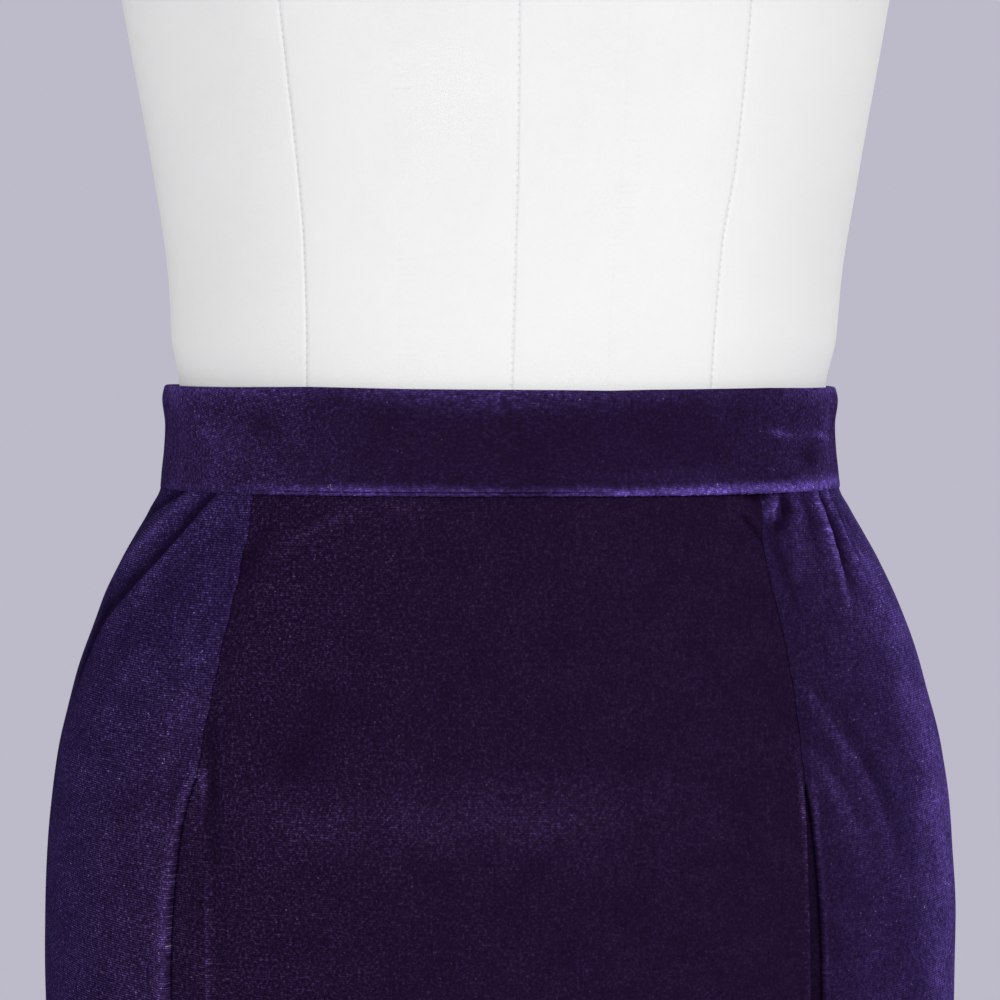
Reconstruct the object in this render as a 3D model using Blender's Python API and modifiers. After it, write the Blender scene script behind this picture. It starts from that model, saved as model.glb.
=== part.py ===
"""Velvet pencil skirt on a limbless dress form.

The skirt is a closed waistband over a centre front, two side fronts and a back, with a pocket
mouth left open in each front seam. It hangs on a cloth-covered form that stands on a pole and
a round base. Metres, +Z up, origin under the middle of the base, front towards -Y.
"Left" and "right" are those of someone who looks at the front.
"""

import math
from collections import namedtuple

import bmesh
import bpy
from mathutils import Vector

# Heights
BAND_TOP_Z = 1.060          # top edge of the waistband above the floor
BAND_HEIGHT = 0.037
SKIRT_LENGTH = 0.620        # band top to hem
FORM_END_DROP = 0.335       # underside of the form, below the band top
NECK_RISE = 0.472           # flat top of the neck, above the band top

# Cloth
BAND_THICKNESS = 0.0030     # two layers of velvet over the elastic
WALL = 0.0016               # velvet with its pile
FACING_WALL = 0.0012
SEAM_GAP = 0.0003
BAND_TUCK = 0.0010          # the panels start this far inside the band's face
TUCK_FADE = 0.012
FOLD_ZONE_END = 0.070       # above this drop the folds are sharp, and the rows lie close

# Pocket mouths, in the front seams
MOUTH_LENGTH = 0.150
MOUTH_POWER = 0.55          # below 1, the mouth opens quickly at its two ends
LIP_WIDTH = 0.014
FACING_RISE = 0.012         # the facing goes this far past the mouth, above and below
FACING_FRONT = 0.042        # and this far to each side of the seam
FACING_SIDE = 0.024

# Stand
BASE_RADIUS = 0.170
BASE_EDGE = 0.012
BASE_CROWN = 0.020
BOSS_RADIUS = 0.026
BOSS_TOP = 0.070
POLE_RADIUS = 0.014
FLANGE_RADIUS = 0.046
FLANGE_THICKNESS = 0.006
CAP_RADIUS = 0.058
CAP_THICKNESS = 0.012
KNOB_RADIUS = 0.013
KNOB_HEIGHT = 0.030
MERGE = 0.00001

# Mesh density
SECTION_POWER = 2.3         # between an ellipse, 2, and a rounded box
BAND_SEGMENTS = 64
FORM_SEGMENTS = 48
TURNED_STEPS = 36
FRONT_COLUMNS = 20
SIDE_COLUMNS = 13
BACK_COLUMNS = 28
FACING_COLUMNS = 6
FACING_ROWS = 9

# Outside of the skirt at each drop below the band top: half its width, how far it reaches in
# front of and behind the axis of the form, and how far its middle lies to the right.
Section = namedtuple("Section", "drop half_width front back shift", defaults=(0.0,))
SKIRT_SECTIONS = (
    Section(0.000, 0.1252, 0.0915, 0.0875),
    Section(0.005, 0.1262, 0.0920, 0.0880),
    Section(0.014, 0.1252, 0.0912, 0.0872),
    Section(0.023, 0.1257, 0.0916, 0.0877),
    Section(0.031, 0.1266, 0.0926, 0.0890),
    Section(0.037, 0.1271, 0.0934, 0.0900),
    Section(0.045, 0.1308, 0.0948, 0.0932),
    Section(0.054, 0.1359, 0.0974, 0.0974),
    Section(0.063, 0.1409, 0.0998, 0.1016),
    Section(0.081, 0.1493, 0.1038, 0.1092),
    Section(0.108, 0.1587, 0.1080, 0.1176),
    Section(0.135, 0.1654, 0.1110, 0.1234),
    Section(0.167, 0.1693, 0.1128, 0.1272),
    Section(0.200, 0.1708, 0.1130, 0.1280),
    Section(0.260, 0.1695, 0.1112, 0.1230),
    Section(0.340, 0.1650, 0.1076, 0.1144),
    Section(0.440, 0.1588, 0.1030, 0.1062),
    Section(0.540, 0.1522, 0.0992, 0.1006),
    Section(0.620, 0.1480, 0.0975, 0.0980),
)

# Cloth-covered form above the band, at negative drops, to the flat top of its neck.
FORM_SECTIONS = (
    Section(-NECK_RISE, 0.0545, 0.0530, 0.0560),
    Section(-0.446, 0.0600, 0.0545, 0.0640),
    Section(-0.432, 0.0790, 0.0560, 0.0700),
    Section(-0.420, 0.1080, 0.0580, 0.0750),
    Section(-0.405, 0.1440, 0.0615, 0.0820),
    Section(-0.385, 0.1690, 0.0670, 0.0905),
    Section(-0.360, 0.1745, 0.0760, 0.0995),
    Section(-0.330, 0.1700, 0.0880, 0.1060),
    Section(-0.290, 0.1610, 0.1050, 0.1080),
    Section(-0.250, 0.1565, 0.1180, 0.1065, 0.0008),
    Section(-0.215, 0.1535, 0.1215, 0.1035, 0.0014),
    Section(-0.180, 0.1488, 0.1150, 0.1000, 0.0018),
    Section(-0.130, 0.1403, 0.1020, 0.0950, 0.0021),
    Section(-0.080, 0.1315, 0.0940, 0.0900, 0.0022),
    Section(-0.040, 0.1255, 0.0898, 0.0862, 0.0018),
    Section(-0.018, 0.1240, 0.0888, 0.0850, 0.0014),
)

# How far the form lies inside the skirt's outside, at its sides and at its front and back, where
# it carries the band, and how far its middle lies to the right.
Clearance = namedtuple("Clearance", "drop side depth shift")
FORM_CLEARANCES = (
    Clearance(0.000, 0.0045, BAND_THICKNESS + SEAM_GAP, 0.0010),
    Clearance(0.036, 0.0050, BAND_THICKNESS + SEAM_GAP, 0.0005),
    Clearance(0.065, 0.0046, 0.0046, 0.0000),
    Clearance(0.340, 0.0050, 0.0050, 0.0000),
)

# Front seams: distance of each from the centre line, as seen from the front.
Seam = namedtuple("Seam", "drop left right")
FRONT_SEAMS = (
    Seam(0.037, 0.0889, 0.0945),
    Seam(0.047, 0.0893, 0.0936),
    Seam(0.055, 0.0908, 0.0940),
    Seam(0.070, 0.0938, 0.0968),
    Seam(0.088, 0.0980, 0.1010),
    Seam(0.106, 0.1018, 0.1042),
    Seam(0.128, 0.1062, 0.1069),
    Seam(0.160, 0.1102, 0.1098),
    Seam(0.210, 0.1115, 0.1115),
    Seam(0.300, 0.1105, 0.1105),
    Seam(0.450, 0.1035, 0.1035),
    Seam(0.620, 0.0970, 0.0970),
)

# Each pocket mouth: its side, the drop of its top, its widest gap, the front panel's share of
# that gap, and how far its lips stand out.
Mouth = namedtuple("Mouth", "name sign top gape front_share lip_lift")
MOUTHS = (
    Mouth("left", -1, 0.1365, 0.0155, 0.53, 0.0016),
    Mouth("right", 1, 0.1390, 0.0060, 0.30, 0.0009),
)

# Largest folds, as straight soft ridges (a height above 0) or troughs (below 0). Angles are in
# degrees from the middle of the front, positive to the right.
Fold = namedtuple("Fold", "name angle drop end_angle end_drop width height")
FOLDS = (
    Fold("right_inner_ridge", 62, 0.041, 56, 0.073, 0.0042, 0.0022),
    Fold("right_outer_ridge", 68, 0.041, 65, 0.067, 0.0040, 0.0021),
    Fold("right_seam_ridge", 53, 0.043, 45, 0.068, 0.0050, 0.0009),
    Fold("right_sweep", 41, 0.108, 53, 0.158, 0.0062, 0.0014),
    Fold("right_low_sweep", 40, 0.131, 46, 0.160, 0.0050, 0.0010),
    Fold("left_drag_trough", -54, 0.041, -74, 0.079, 0.0052, -0.0018),
    Fold("left_drag_ridge", -62, 0.044, -80, 0.068, 0.0060, 0.0018),
    Fold("left_seam_trough", -44, 0.044, -67, 0.120, 0.0065, -0.0010),
    Fold("left_hip_ridge", -52, 0.078, -74, 0.130, 0.0070, 0.0011),
    Fold("back_right_ridge", 112, 0.043, 128, 0.100, 0.0070, 0.0018),
    Fold("back_right_trough", 122, 0.042, 138, 0.086, 0.0060, -0.0012),
    Fold("back_left_ridge", -116, 0.043, -134, 0.096, 0.0075, 0.0019),
    Fold("back_right_sweep", 150, 0.150, 118, 0.205, 0.0090, 0.0014),
    Fold("back_left_sweep", -146, 0.140, -122, 0.190, 0.0090, 0.0012),
)

# Below the form the cloth hangs free in shallow flutes, which are deepest at the hem.
Flute = namedtuple("Flute", "count phase height")
FLUTES = (
    Flute(3, 40, 0.0016),
    Flute(5, 205, 0.0012),
    Flute(8, 110, 0.0006),
)
FLUTE_START_DROP = 0.330

Finish = namedtuple("Finish", "name colour roughness metallic")
VELVET = Finish("purple_velvet", (0.022, 0.008, 0.045, 1.0), 0.85, 0.0)
COVER = Finish("white_cover_cloth", (0.80, 0.79, 0.80, 1.0), 0.90, 0.0)
PAINT = Finish("white_painted_steel", (0.72, 0.72, 0.73, 1.0), 0.40, 0.0)
STEEL = Finish("satin_steel", (0.62, 0.62, 0.64, 1.0), 0.32, 1.0)


def smoothstep(low, high, value):
    """0 below low, 1 above high, and an even rise between them."""
    share = min(max((value - low) / (high - low), 0.0), 1.0)
    return share * share * (3.0 - 2.0 * share)


def curve_value(rows, column, drop):
    """One column of a table at any drop, on a smooth curve that never overshoots its rows."""
    drops = [row.drop for row in rows]
    values = [getattr(row, column) for row in rows]
    drop = min(max(drop, drops[0]), drops[-1])
    last = len(rows) - 1
    at = max(i for i in range(last) if drops[i] <= drop)
    steps = [drops[i + 1] - drops[i] for i in range(last)]
    slopes = [(values[i + 1] - values[i]) / steps[i] for i in range(last)]

    def tangent(i):
        if i in (0, last) or slopes[i - 1] * slopes[i] <= 0.0:
            return slopes[min(i, last - 1)] if i in (0, last) else 0.0
        return 2.0 * slopes[i - 1] * slopes[i] / (slopes[i - 1] + slopes[i])

    share = (drop - drops[at]) / steps[at]
    rise = steps[at]
    return (
        (1 + 2 * share) * (1 - share) ** 2 * values[at]
        + share * (1 - share) ** 2 * rise * tangent(at)
        + share**2 * (3 - 2 * share) * values[at + 1]
        - share**2 * (1 - share) * rise * tangent(at + 1)
    )


def section_at(rows, drop):
    return Section(drop, *(curve_value(rows, name, drop) for name in Section._fields[1:]))


def point_on(section, angle, outward):
    """A point of a section, moved out along the section's own normal in its plane."""
    across = math.sin(math.radians(angle))
    ahead = math.cos(math.radians(angle))
    depth = section.front if ahead >= 0.0 else section.back
    bend = 2.0 / SECTION_POWER
    x = math.copysign(section.half_width * abs(across) ** bend, across)
    y = -math.copysign(depth * abs(ahead) ** bend, ahead)
    steep = SECTION_POWER - 1.0
    normal = Vector(
        (
            math.copysign(abs(x / section.half_width) ** steep / section.half_width, x),
            math.copysign(abs(y / depth) ** steep / depth, y),
            0.0,
        )
    ).normalized()
    return Vector((section.shift + x, y, BAND_TOP_Z - section.drop)) + normal * outward


def angle_at(section, offset):
    """The angle of the front point that is this far from the centre line."""
    share = (abs(offset) / section.half_width) ** (SECTION_POWER / 2.0)
    return math.copysign(math.degrees(math.asin(min(share, 1.0))), offset)


def turned_by(section, angle, distance):
    """The angle a given distance along the section from another angle."""
    step = 0.5
    ends = [point_on(section, angle + side, 0.0) for side in (-step, step)]
    return angle + distance * 2.0 * step / (ends[1] - ends[0]).length


def seam_middle(mouth, drop):
    """The angle of the seam that holds a mouth, as if the mouth were closed."""
    offset = mouth.sign * curve_value(FRONT_SEAMS, mouth.name, drop)
    return angle_at(section_at(SKIRT_SECTIONS, drop), offset)


def gape_at(mouth, drop):
    """Width of a pocket mouth at a drop, 0 where its seam is closed."""
    share = (drop - mouth.top) / MOUTH_LENGTH
    if not 0.0 < share < 1.0:
        return 0.0
    return mouth.gape * math.sin(math.pi * share) ** MOUTH_POWER


def seam_angle(mouth, drop, side):
    """Edge of the front panel (side "front") or of the side front (side "side") at a seam."""
    share = mouth.front_share if side == "front" else mouth.front_share - 1.0
    half_gap = SEAM_GAP / 2.0 if side == "front" else -SEAM_GAP / 2.0
    inward = half_gap + share * gape_at(mouth, drop)
    section = section_at(SKIRT_SECTIONS, drop)
    return turned_by(section, seam_middle(mouth, drop), -mouth.sign * inward)


def cloth_height(drop, angle, lips):
    """Height of the folds and the flutes at a point of the cloth, and of the pocket lips."""
    section = section_at(SKIRT_SECTIONS, drop)
    around = math.radians(1.0) * (section.half_width + section.front) / 2.0
    height = 0.0
    for fold in FOLDS:
        run = Vector(((fold.end_angle - fold.angle) * around, fold.end_drop - fold.drop))
        place = Vector(((angle - fold.angle) * around, drop - fold.drop))
        share = min(max(place.dot(run) / run.length_squared, 0.0), 1.0)
        away = (place - run * share).length / fold.width
        height += fold.height * math.exp(-away * away)
    below = smoothstep(FLUTE_START_DROP, SKIRT_LENGTH, drop)
    for flute in FLUTES:
        height += flute.height * below * math.cos(math.radians(flute.count * angle - flute.phase))
    for mouth in MOUTHS if lips else ():
        away = (angle - seam_middle(mouth, drop)) * around / LIP_WIDTH
        height += mouth.lip_lift * gape_at(mouth, drop) / mouth.gape * math.exp(-away * away)
    return height


def cloth_point(drop, angle, inset):
    """A point of the skirt's outside, or of a layer inside it, which the lips leave behind."""
    section = section_at(SKIRT_SECTIONS, drop)
    tuck = BAND_TUCK * (1.0 - smoothstep(BAND_HEIGHT, BAND_HEIGHT + TUCK_FADE, drop))
    height = cloth_height(drop, angle, lips=inset == 0.0)
    return point_on(section, angle, height - tuck - inset)


def clear_scene():
    for old in list(bpy.data.objects):
        bpy.data.objects.remove(old, do_unlink=True)


def finish_material(finish):
    if finish.name in bpy.data.materials:
        return bpy.data.materials[finish.name]
    material = bpy.data.materials.new(finish.name)
    material.use_nodes = True
    shader = material.node_tree.nodes["Principled BSDF"]
    shader.inputs["Base Color"].default_value = finish.colour
    shader.inputs["Roughness"].default_value = finish.roughness
    shader.inputs["Metallic"].default_value = finish.metallic
    material.diffuse_color = finish.colour
    return material


def add_object(name, cage, collection, finish):
    """A smooth-shaded object from a bmesh, in its collection and with its finish."""
    mesh = bpy.data.meshes.new(name)
    cage.to_mesh(mesh)
    cage.free()
    mesh.shade_smooth()
    mesh.set_sharp_from_angle(angle=math.radians(50))
    part = bpy.data.objects.new(name, mesh)
    part.data.materials.append(finish_material(finish))
    collection.objects.link(part)
    return part


def spaced(low, high, count, ease=0.0):
    """Count + 1 places from low to high, drawn towards both ends by ease, from 0 to 1."""
    places = []
    for step in range(count + 1):
        share = step / count
        eased = (1.0 - math.cos(math.pi * share)) / 2.0
        places.append(low + (high - low) * (share + (eased - share) * ease))
    return places


def panel_drops():
    """Rows of the front panels: closest at the band and at the ends of the pocket mouths."""
    mouth_top = MOUTHS[0].top
    mouth_end = mouth_top + MOUTH_LENGTH
    rows = spaced(BAND_HEIGHT + SEAM_GAP, FOLD_ZONE_END, 7)
    rows += spaced(FOLD_ZONE_END, mouth_top, 6)[1:]
    rows += spaced(mouth_top, mouth_end, 10, ease=0.8)[1:]
    rows += spaced(mouth_end, SKIRT_LENGTH, 6)[1:]
    return rows


def cloth_sheet(name, drops, edges, columns, inset, thickness, collection):
    """A cloth wall over a grid of the skirt's surface, between two edges given as angles."""
    rows = len(drops) - 1
    cage = bmesh.new()
    bmesh.ops.create_grid(cage, x_segments=columns, y_segments=rows, size=1.0)
    for vertex in cage.verts:
        across = (vertex.co.x + 1.0) / 2.0
        drop = drops[rows - round((vertex.co.y + 1.0) / 2.0 * rows)]
        first, last = edges(drop)
        vertex.co = cloth_point(drop, first + (last - first) * across, inset)
    part = add_object(name, cage, collection, VELVET)
    wall = part.modifiers.new("wall", "SOLIDIFY")
    wall.thickness = thickness
    wall.offset = -1.0
    return part


def front_panel(collection):
    left, right = MOUTHS

    def edges(drop):
        return seam_angle(left, drop, "front"), seam_angle(right, drop, "front")

    return cloth_sheet("front_panel", panel_drops(), edges, FRONT_COLUMNS, 0.0, WALL, collection)


def side_front(mouth, collection):
    def edges(drop):
        section = section_at(SKIRT_SECTIONS, drop)
        seam = seam_angle(mouth, drop, "side")
        side = turned_by(section, 90.0 * mouth.sign, -mouth.sign * SEAM_GAP / 2.0)
        return min(seam, side), max(seam, side)

    name = "side_front_" + mouth.name
    return cloth_sheet(name, panel_drops(), edges, SIDE_COLUMNS, 0.0, WALL, collection)


def back_panel(collection):
    def edges(drop):
        section = section_at(SKIRT_SECTIONS, drop)
        first = turned_by(section, 90.0, SEAM_GAP / 2.0)
        return first, 360.0 - first

    drops = spaced(BAND_HEIGHT + SEAM_GAP, FOLD_ZONE_END, 5)
    drops += spaced(FOLD_ZONE_END, 0.210, 8)[1:]
    drops += spaced(0.210, SKIRT_LENGTH, 8)[1:]
    return cloth_sheet("back_panel", drops, edges, BACK_COLUMNS, 0.0, WALL, collection)


def pocket_facing(mouth, collection):
    """The velvet layer that shows behind a pocket mouth, under both of its lips."""

    def edges(drop):
        section = section_at(SKIRT_SECTIONS, drop)
        middle = seam_middle(mouth, drop)
        ahead = turned_by(section, middle, -mouth.sign * FACING_FRONT)
        behind = turned_by(section, middle, mouth.sign * FACING_SIDE)
        return min(ahead, behind), max(ahead, behind)

    end = mouth.top + MOUTH_LENGTH + FACING_RISE
    drops = spaced(mouth.top - FACING_RISE, end, FACING_ROWS)
    name = "pocket_facing_" + mouth.name
    inset = WALL + 2.0 * SEAM_GAP
    return cloth_sheet(name, drops, edges, FACING_COLUMNS, inset, FACING_WALL, collection)


def band_profile():
    """Drop and inset of each point round the waistband's cut edge, with both ends rounded."""
    radius = BAND_THICKNESS / 2.0
    low = BAND_HEIGHT - radius
    profile = [(drop, 0.0) for drop in spaced(radius, low, 5)]
    for turn in (45, 90, 135):
        swing = math.radians(turn)
        profile.append((low + radius * math.sin(swing), radius * (1.0 - math.cos(swing))))
    profile += [(drop, BAND_THICKNESS) for drop in spaced(low, radius, 2)]
    for turn in (135, 90, 45):
        swing = math.radians(turn)
        profile.append((radius - radius * math.sin(swing), radius * (1.0 - math.cos(swing))))
    return profile


def waistband(collection):
    """A torus whose cut edge becomes the band's and whose ring becomes the waist's."""
    profile = band_profile()
    bpy.ops.mesh.primitive_torus_add(major_segments=BAND_SEGMENTS, minor_segments=len(profile))
    ring = bpy.context.object
    cage = bmesh.new()
    cage.from_mesh(ring.data)
    bpy.data.objects.remove(ring, do_unlink=True)
    cage.verts.ensure_lookup_table()
    for vertex in cage.verts:
        along, at = divmod(vertex.index, len(profile))
        drop, inset = profile[at]
        section = section_at(SKIRT_SECTIONS, drop)
        vertex.co = point_on(section, 360.0 * along / BAND_SEGMENTS, -inset)
    bmesh.ops.recalc_face_normals(cage, faces=cage.faces)
    return add_object("waistband", cage, collection, VELVET)


def form_rows():
    """Sections of the whole form: those above the band, then the skirt's less their clearance."""
    rows = list(FORM_SECTIONS)
    for skirt in SKIRT_SECTIONS:
        side = curve_value(FORM_CLEARANCES, "side", skirt.drop)
        depth = curve_value(FORM_CLEARANCES, "depth", skirt.drop)
        shift = curve_value(FORM_CLEARANCES, "shift", skirt.drop)
        sizes = (skirt.half_width - side, skirt.front - depth, skirt.back - depth)
        rows.append(Section(skirt.drop, *sizes, shift))
    return rows


def form_body(collection):
    """A loft through level sections, with a flat neck top and a rounded lower edge."""
    rows = form_rows()
    corner = 0.014
    drops = [row.drop for row in FORM_SECTIONS[:7]]
    drops += spaced(-0.360, 0.0, 11)[1:]
    drops += spaced(0.0, BAND_HEIGHT, 2)[1:]
    drops += spaced(BAND_HEIGHT, 0.110, 5)[1:]
    drops += spaced(0.110, FORM_END_DROP - corner, 6)[1:]
    insets = [0.0] * len(drops)
    for turn in (30, 60, 90):
        swing = math.radians(turn)
        drops.append(FORM_END_DROP - corner * (1.0 - math.sin(swing)))
        insets.append(corner * (1.0 - math.cos(swing)))
    cage = bmesh.new()
    rings = []
    for drop, inset in zip(drops, insets):
        section = section_at(rows, drop)
        angles = [360.0 * step / FORM_SEGMENTS for step in range(FORM_SEGMENTS)]
        rings.append([cage.verts.new(point_on(section, angle, -inset)) for angle in angles])
    for upper, lower in zip(rings, rings[1:]):
        for step in range(FORM_SEGMENTS):
            after = (step + 1) % FORM_SEGMENTS
            cage.faces.new((upper[step], lower[step], lower[after], upper[after]))
    cage.faces.new(rings[0])
    cage.faces.new(rings[-1])
    bmesh.ops.recalc_face_normals(cage, faces=cage.faces)
    return add_object("form_body", cage, collection, COVER)


def turned_part(name, profile, collection, finish):
    """A profile of (radius, height) points, from the axis down its outer side, turned round."""
    cage = bmesh.new()
    points = [cage.verts.new((radius, 0.0, height)) for radius, height in profile]
    for upper, lower in zip(points, points[1:]):
        cage.edges.new((upper, lower))
    part = add_object(name, cage, collection, finish)
    turn = part.modifiers.new("turn", "SCREW")
    turn.steps = TURNED_STEPS
    turn.render_steps = TURNED_STEPS
    turn.use_merge_vertices = True
    turn.merge_threshold = MERGE
    turn.use_smooth_shade = True
    return part


def stand(collection):
    """Base with a boss, pole with a flange under the form, and a cap with a knob on the neck."""
    fillet = 0.003
    base = (
        (0.0, BOSS_TOP),
        (BOSS_RADIUS - fillet, BOSS_TOP),
        (BOSS_RADIUS, BOSS_TOP - fillet),
        (BOSS_RADIUS, BASE_CROWN + 2.0 * fillet),
        (BOSS_RADIUS + 2.0 * fillet, BASE_CROWN),
        (BASE_RADIUS - fillet, BASE_EDGE),
        (BASE_RADIUS, BASE_EDGE - fillet),
        (BASE_RADIUS, 0.0),
        (0.0, 0.0),
    )
    turned_part("form_base", base, collection, PAINT)
    pole_top = BAND_TOP_Z - FORM_END_DROP - SEAM_GAP
    flange_bottom = pole_top - FLANGE_THICKNESS
    pole = (
        (0.0, pole_top),
        (FLANGE_RADIUS, pole_top),
        (FLANGE_RADIUS, flange_bottom),
        (POLE_RADIUS + 2.0 * fillet, flange_bottom),
        (POLE_RADIUS, flange_bottom - 2.0 * fillet),
        (POLE_RADIUS, BOSS_TOP + SEAM_GAP),
        (0.0, BOSS_TOP + SEAM_GAP),
    )
    turned_part("form_pole", pole, collection, STEEL)
    cap_bottom = BAND_TOP_Z + NECK_RISE + SEAM_GAP
    cap_top = cap_bottom + CAP_THICKNESS
    knob_top = cap_top + KNOB_HEIGHT
    cap = (
        (0.0, knob_top),
        (0.6 * KNOB_RADIUS, knob_top - 0.1 * KNOB_HEIGHT),
        (KNOB_RADIUS, knob_top - 0.4 * KNOB_HEIGHT),
        (0.8 * KNOB_RADIUS, cap_top + 0.25 * KNOB_HEIGHT),
        (0.6 * KNOB_RADIUS, cap_top),
        (CAP_RADIUS - fillet, cap_top),
        (CAP_RADIUS, cap_top - fillet),
        (CAP_RADIUS, cap_bottom),
        (0.0, cap_bottom),
    )
    turned_part("form_neck_cap", cap, collection, PAINT)


def main():
    clear_scene()
    collection = bpy.data.collections.new("velvet_pencil_skirt_on_a_dress_form")
    bpy.context.scene.collection.children.link(collection)
    waistband(collection)
    front_panel(collection)
    for mouth in MOUTHS:
        side_front(mouth, collection)
        pocket_facing(mouth, collection)
    back_panel(collection)
    form_body(collection)
    stand(collection)


main()
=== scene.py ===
"""Looks of a velvet pencil skirt and of the limbless dress form that it hangs on.

Every velvet piece is a thin closed shell on its solid's form, with rolled edges at its seams
and its folds laid one by one. Places on the garment are given by their drop, the metres below
the top of the waistband, and their angle, the degrees round it from the middle of the front,
positive to the right of someone who looks at the front. Metres, +Z up, front towards -Y.
"""

import math
from collections import namedtuple

import bpy
import numpy as np
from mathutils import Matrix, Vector


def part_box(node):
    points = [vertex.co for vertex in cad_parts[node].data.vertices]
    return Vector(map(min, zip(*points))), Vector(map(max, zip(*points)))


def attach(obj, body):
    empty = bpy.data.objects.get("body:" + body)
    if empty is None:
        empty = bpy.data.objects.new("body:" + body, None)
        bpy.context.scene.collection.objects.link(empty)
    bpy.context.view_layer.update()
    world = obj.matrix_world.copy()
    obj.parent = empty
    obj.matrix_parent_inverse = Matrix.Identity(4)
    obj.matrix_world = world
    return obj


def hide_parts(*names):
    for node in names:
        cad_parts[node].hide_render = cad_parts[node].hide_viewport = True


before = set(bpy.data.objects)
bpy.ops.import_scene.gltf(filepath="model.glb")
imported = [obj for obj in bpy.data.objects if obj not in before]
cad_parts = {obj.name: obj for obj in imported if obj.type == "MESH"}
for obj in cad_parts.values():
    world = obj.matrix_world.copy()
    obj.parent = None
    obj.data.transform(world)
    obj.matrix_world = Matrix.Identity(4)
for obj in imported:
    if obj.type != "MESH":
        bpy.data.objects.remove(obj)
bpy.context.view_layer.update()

MM = 0.001


def table(kind, *rows):
    """Rows of numbers as named tuples of one kind."""
    return [kind(*row) for row in rows]


# Sizes shared with the solids
BAND_TOP_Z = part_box("waistband")[1].z
SKIRT_LENGTH = 0.620
FORM_END_DROP = 0.335
NECK_RISE = 0.472
WALL = 0.0016
BAND_THICKNESS = 0.0030
MOUTH_LENGTH = 0.150
MOUTH_POWER = 0.55
SECTION_POWER = 2.3
FLUTE_START_DROP = 0.330

Section = namedtuple("Section", "drop half_width front back shift", defaults=(0.0,))
SKIRT_SECTIONS = table(
    Section,
    (0, 0.1252, 0.0915, 0.0875), (0.005, 0.1262, 0.092, 0.088), (0.014, 0.1252, 0.0912, 0.0872),
    (0.023, 0.1257, 0.0916, 0.0877), (0.031, 0.1266, 0.0926, 0.089),
    (0.037, 0.1271, 0.0934, 0.09), (0.045, 0.1308, 0.0948, 0.0932),
    (0.054, 0.1359, 0.0974, 0.0974), (0.063, 0.1409, 0.0998, 0.1016),
    (0.081, 0.1493, 0.1038, 0.1092), (0.108, 0.1587, 0.108, 0.1176),
    (0.135, 0.1654, 0.111, 0.1234), (0.167, 0.1693, 0.1128, 0.1272), (0.2, 0.1708, 0.113, 0.128),
    (0.26, 0.1695, 0.1112, 0.123), (0.34, 0.165, 0.1076, 0.1144), (0.44, 0.1588, 0.103, 0.1062),
    (0.54, 0.1522, 0.0992, 0.1006), (0.62, 0.148, 0.0975, 0.098),
)
FORM_SECTIONS = table(
    Section,
    (-NECK_RISE, 0.0545, 0.053, 0.056), (-0.446, 0.06, 0.0545, 0.064),
    (-0.432, 0.079, 0.056, 0.07), (-0.42, 0.108, 0.058, 0.075), (-0.405, 0.144, 0.0615, 0.082),
    (-0.385, 0.169, 0.067, 0.0905), (-0.36, 0.1745, 0.076, 0.0995), (-0.33, 0.17, 0.088, 0.106),
    (-0.29, 0.161, 0.105, 0.108), (-0.25, 0.1565, 0.118, 0.1065, 0.0008),
    (-0.215, 0.1535, 0.1215, 0.1035, 0.0014), (-0.18, 0.1488, 0.115, 0.1, 0.0018),
    (-0.13, 0.1403, 0.102, 0.095, 0.0021), (-0.08, 0.1315, 0.094, 0.09, 0.0022),
    (-0.04, 0.1255, 0.0898, 0.0862, 0.0018), (-0.018, 0.124, 0.0888, 0.085, 0.0014),
)
Clearance = namedtuple("Clearance", "drop side depth shift")
FORM_CLEARANCES = table(
    Clearance,
    (0, 0.0045, 0.0033, 0.001), (0.036, 0.005, 0.0033, 0.0005), (0.065, 0.0046, 0.0046, 0),
    (0.34, 0.005, 0.005, 0),
)
Seam = namedtuple("Seam", "drop left right")
FRONT_SEAMS = table(
    Seam,
    (0.037, 0.0889, 0.0945), (0.047, 0.0893, 0.0936), (0.055, 0.0908, 0.094),
    (0.07, 0.0938, 0.0968), (0.088, 0.098, 0.101), (0.106, 0.1018, 0.1042),
    (0.128, 0.1062, 0.1069), (0.16, 0.1102, 0.1098), (0.21, 0.1115, 0.1115),
    (0.3, 0.1105, 0.1105), (0.45, 0.1035, 0.1035), (0.62, 0.097, 0.097),
)
Mouth = namedtuple("Mouth", "name sign top gape front_share wobble")
MOUTHS = table(
    Mouth,
    ("left", -1, 0.1365, 0.0155, 0.53, 0.3), ("right", 1, 0.139, 0.006, 0.3, 0.12),
)

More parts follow.
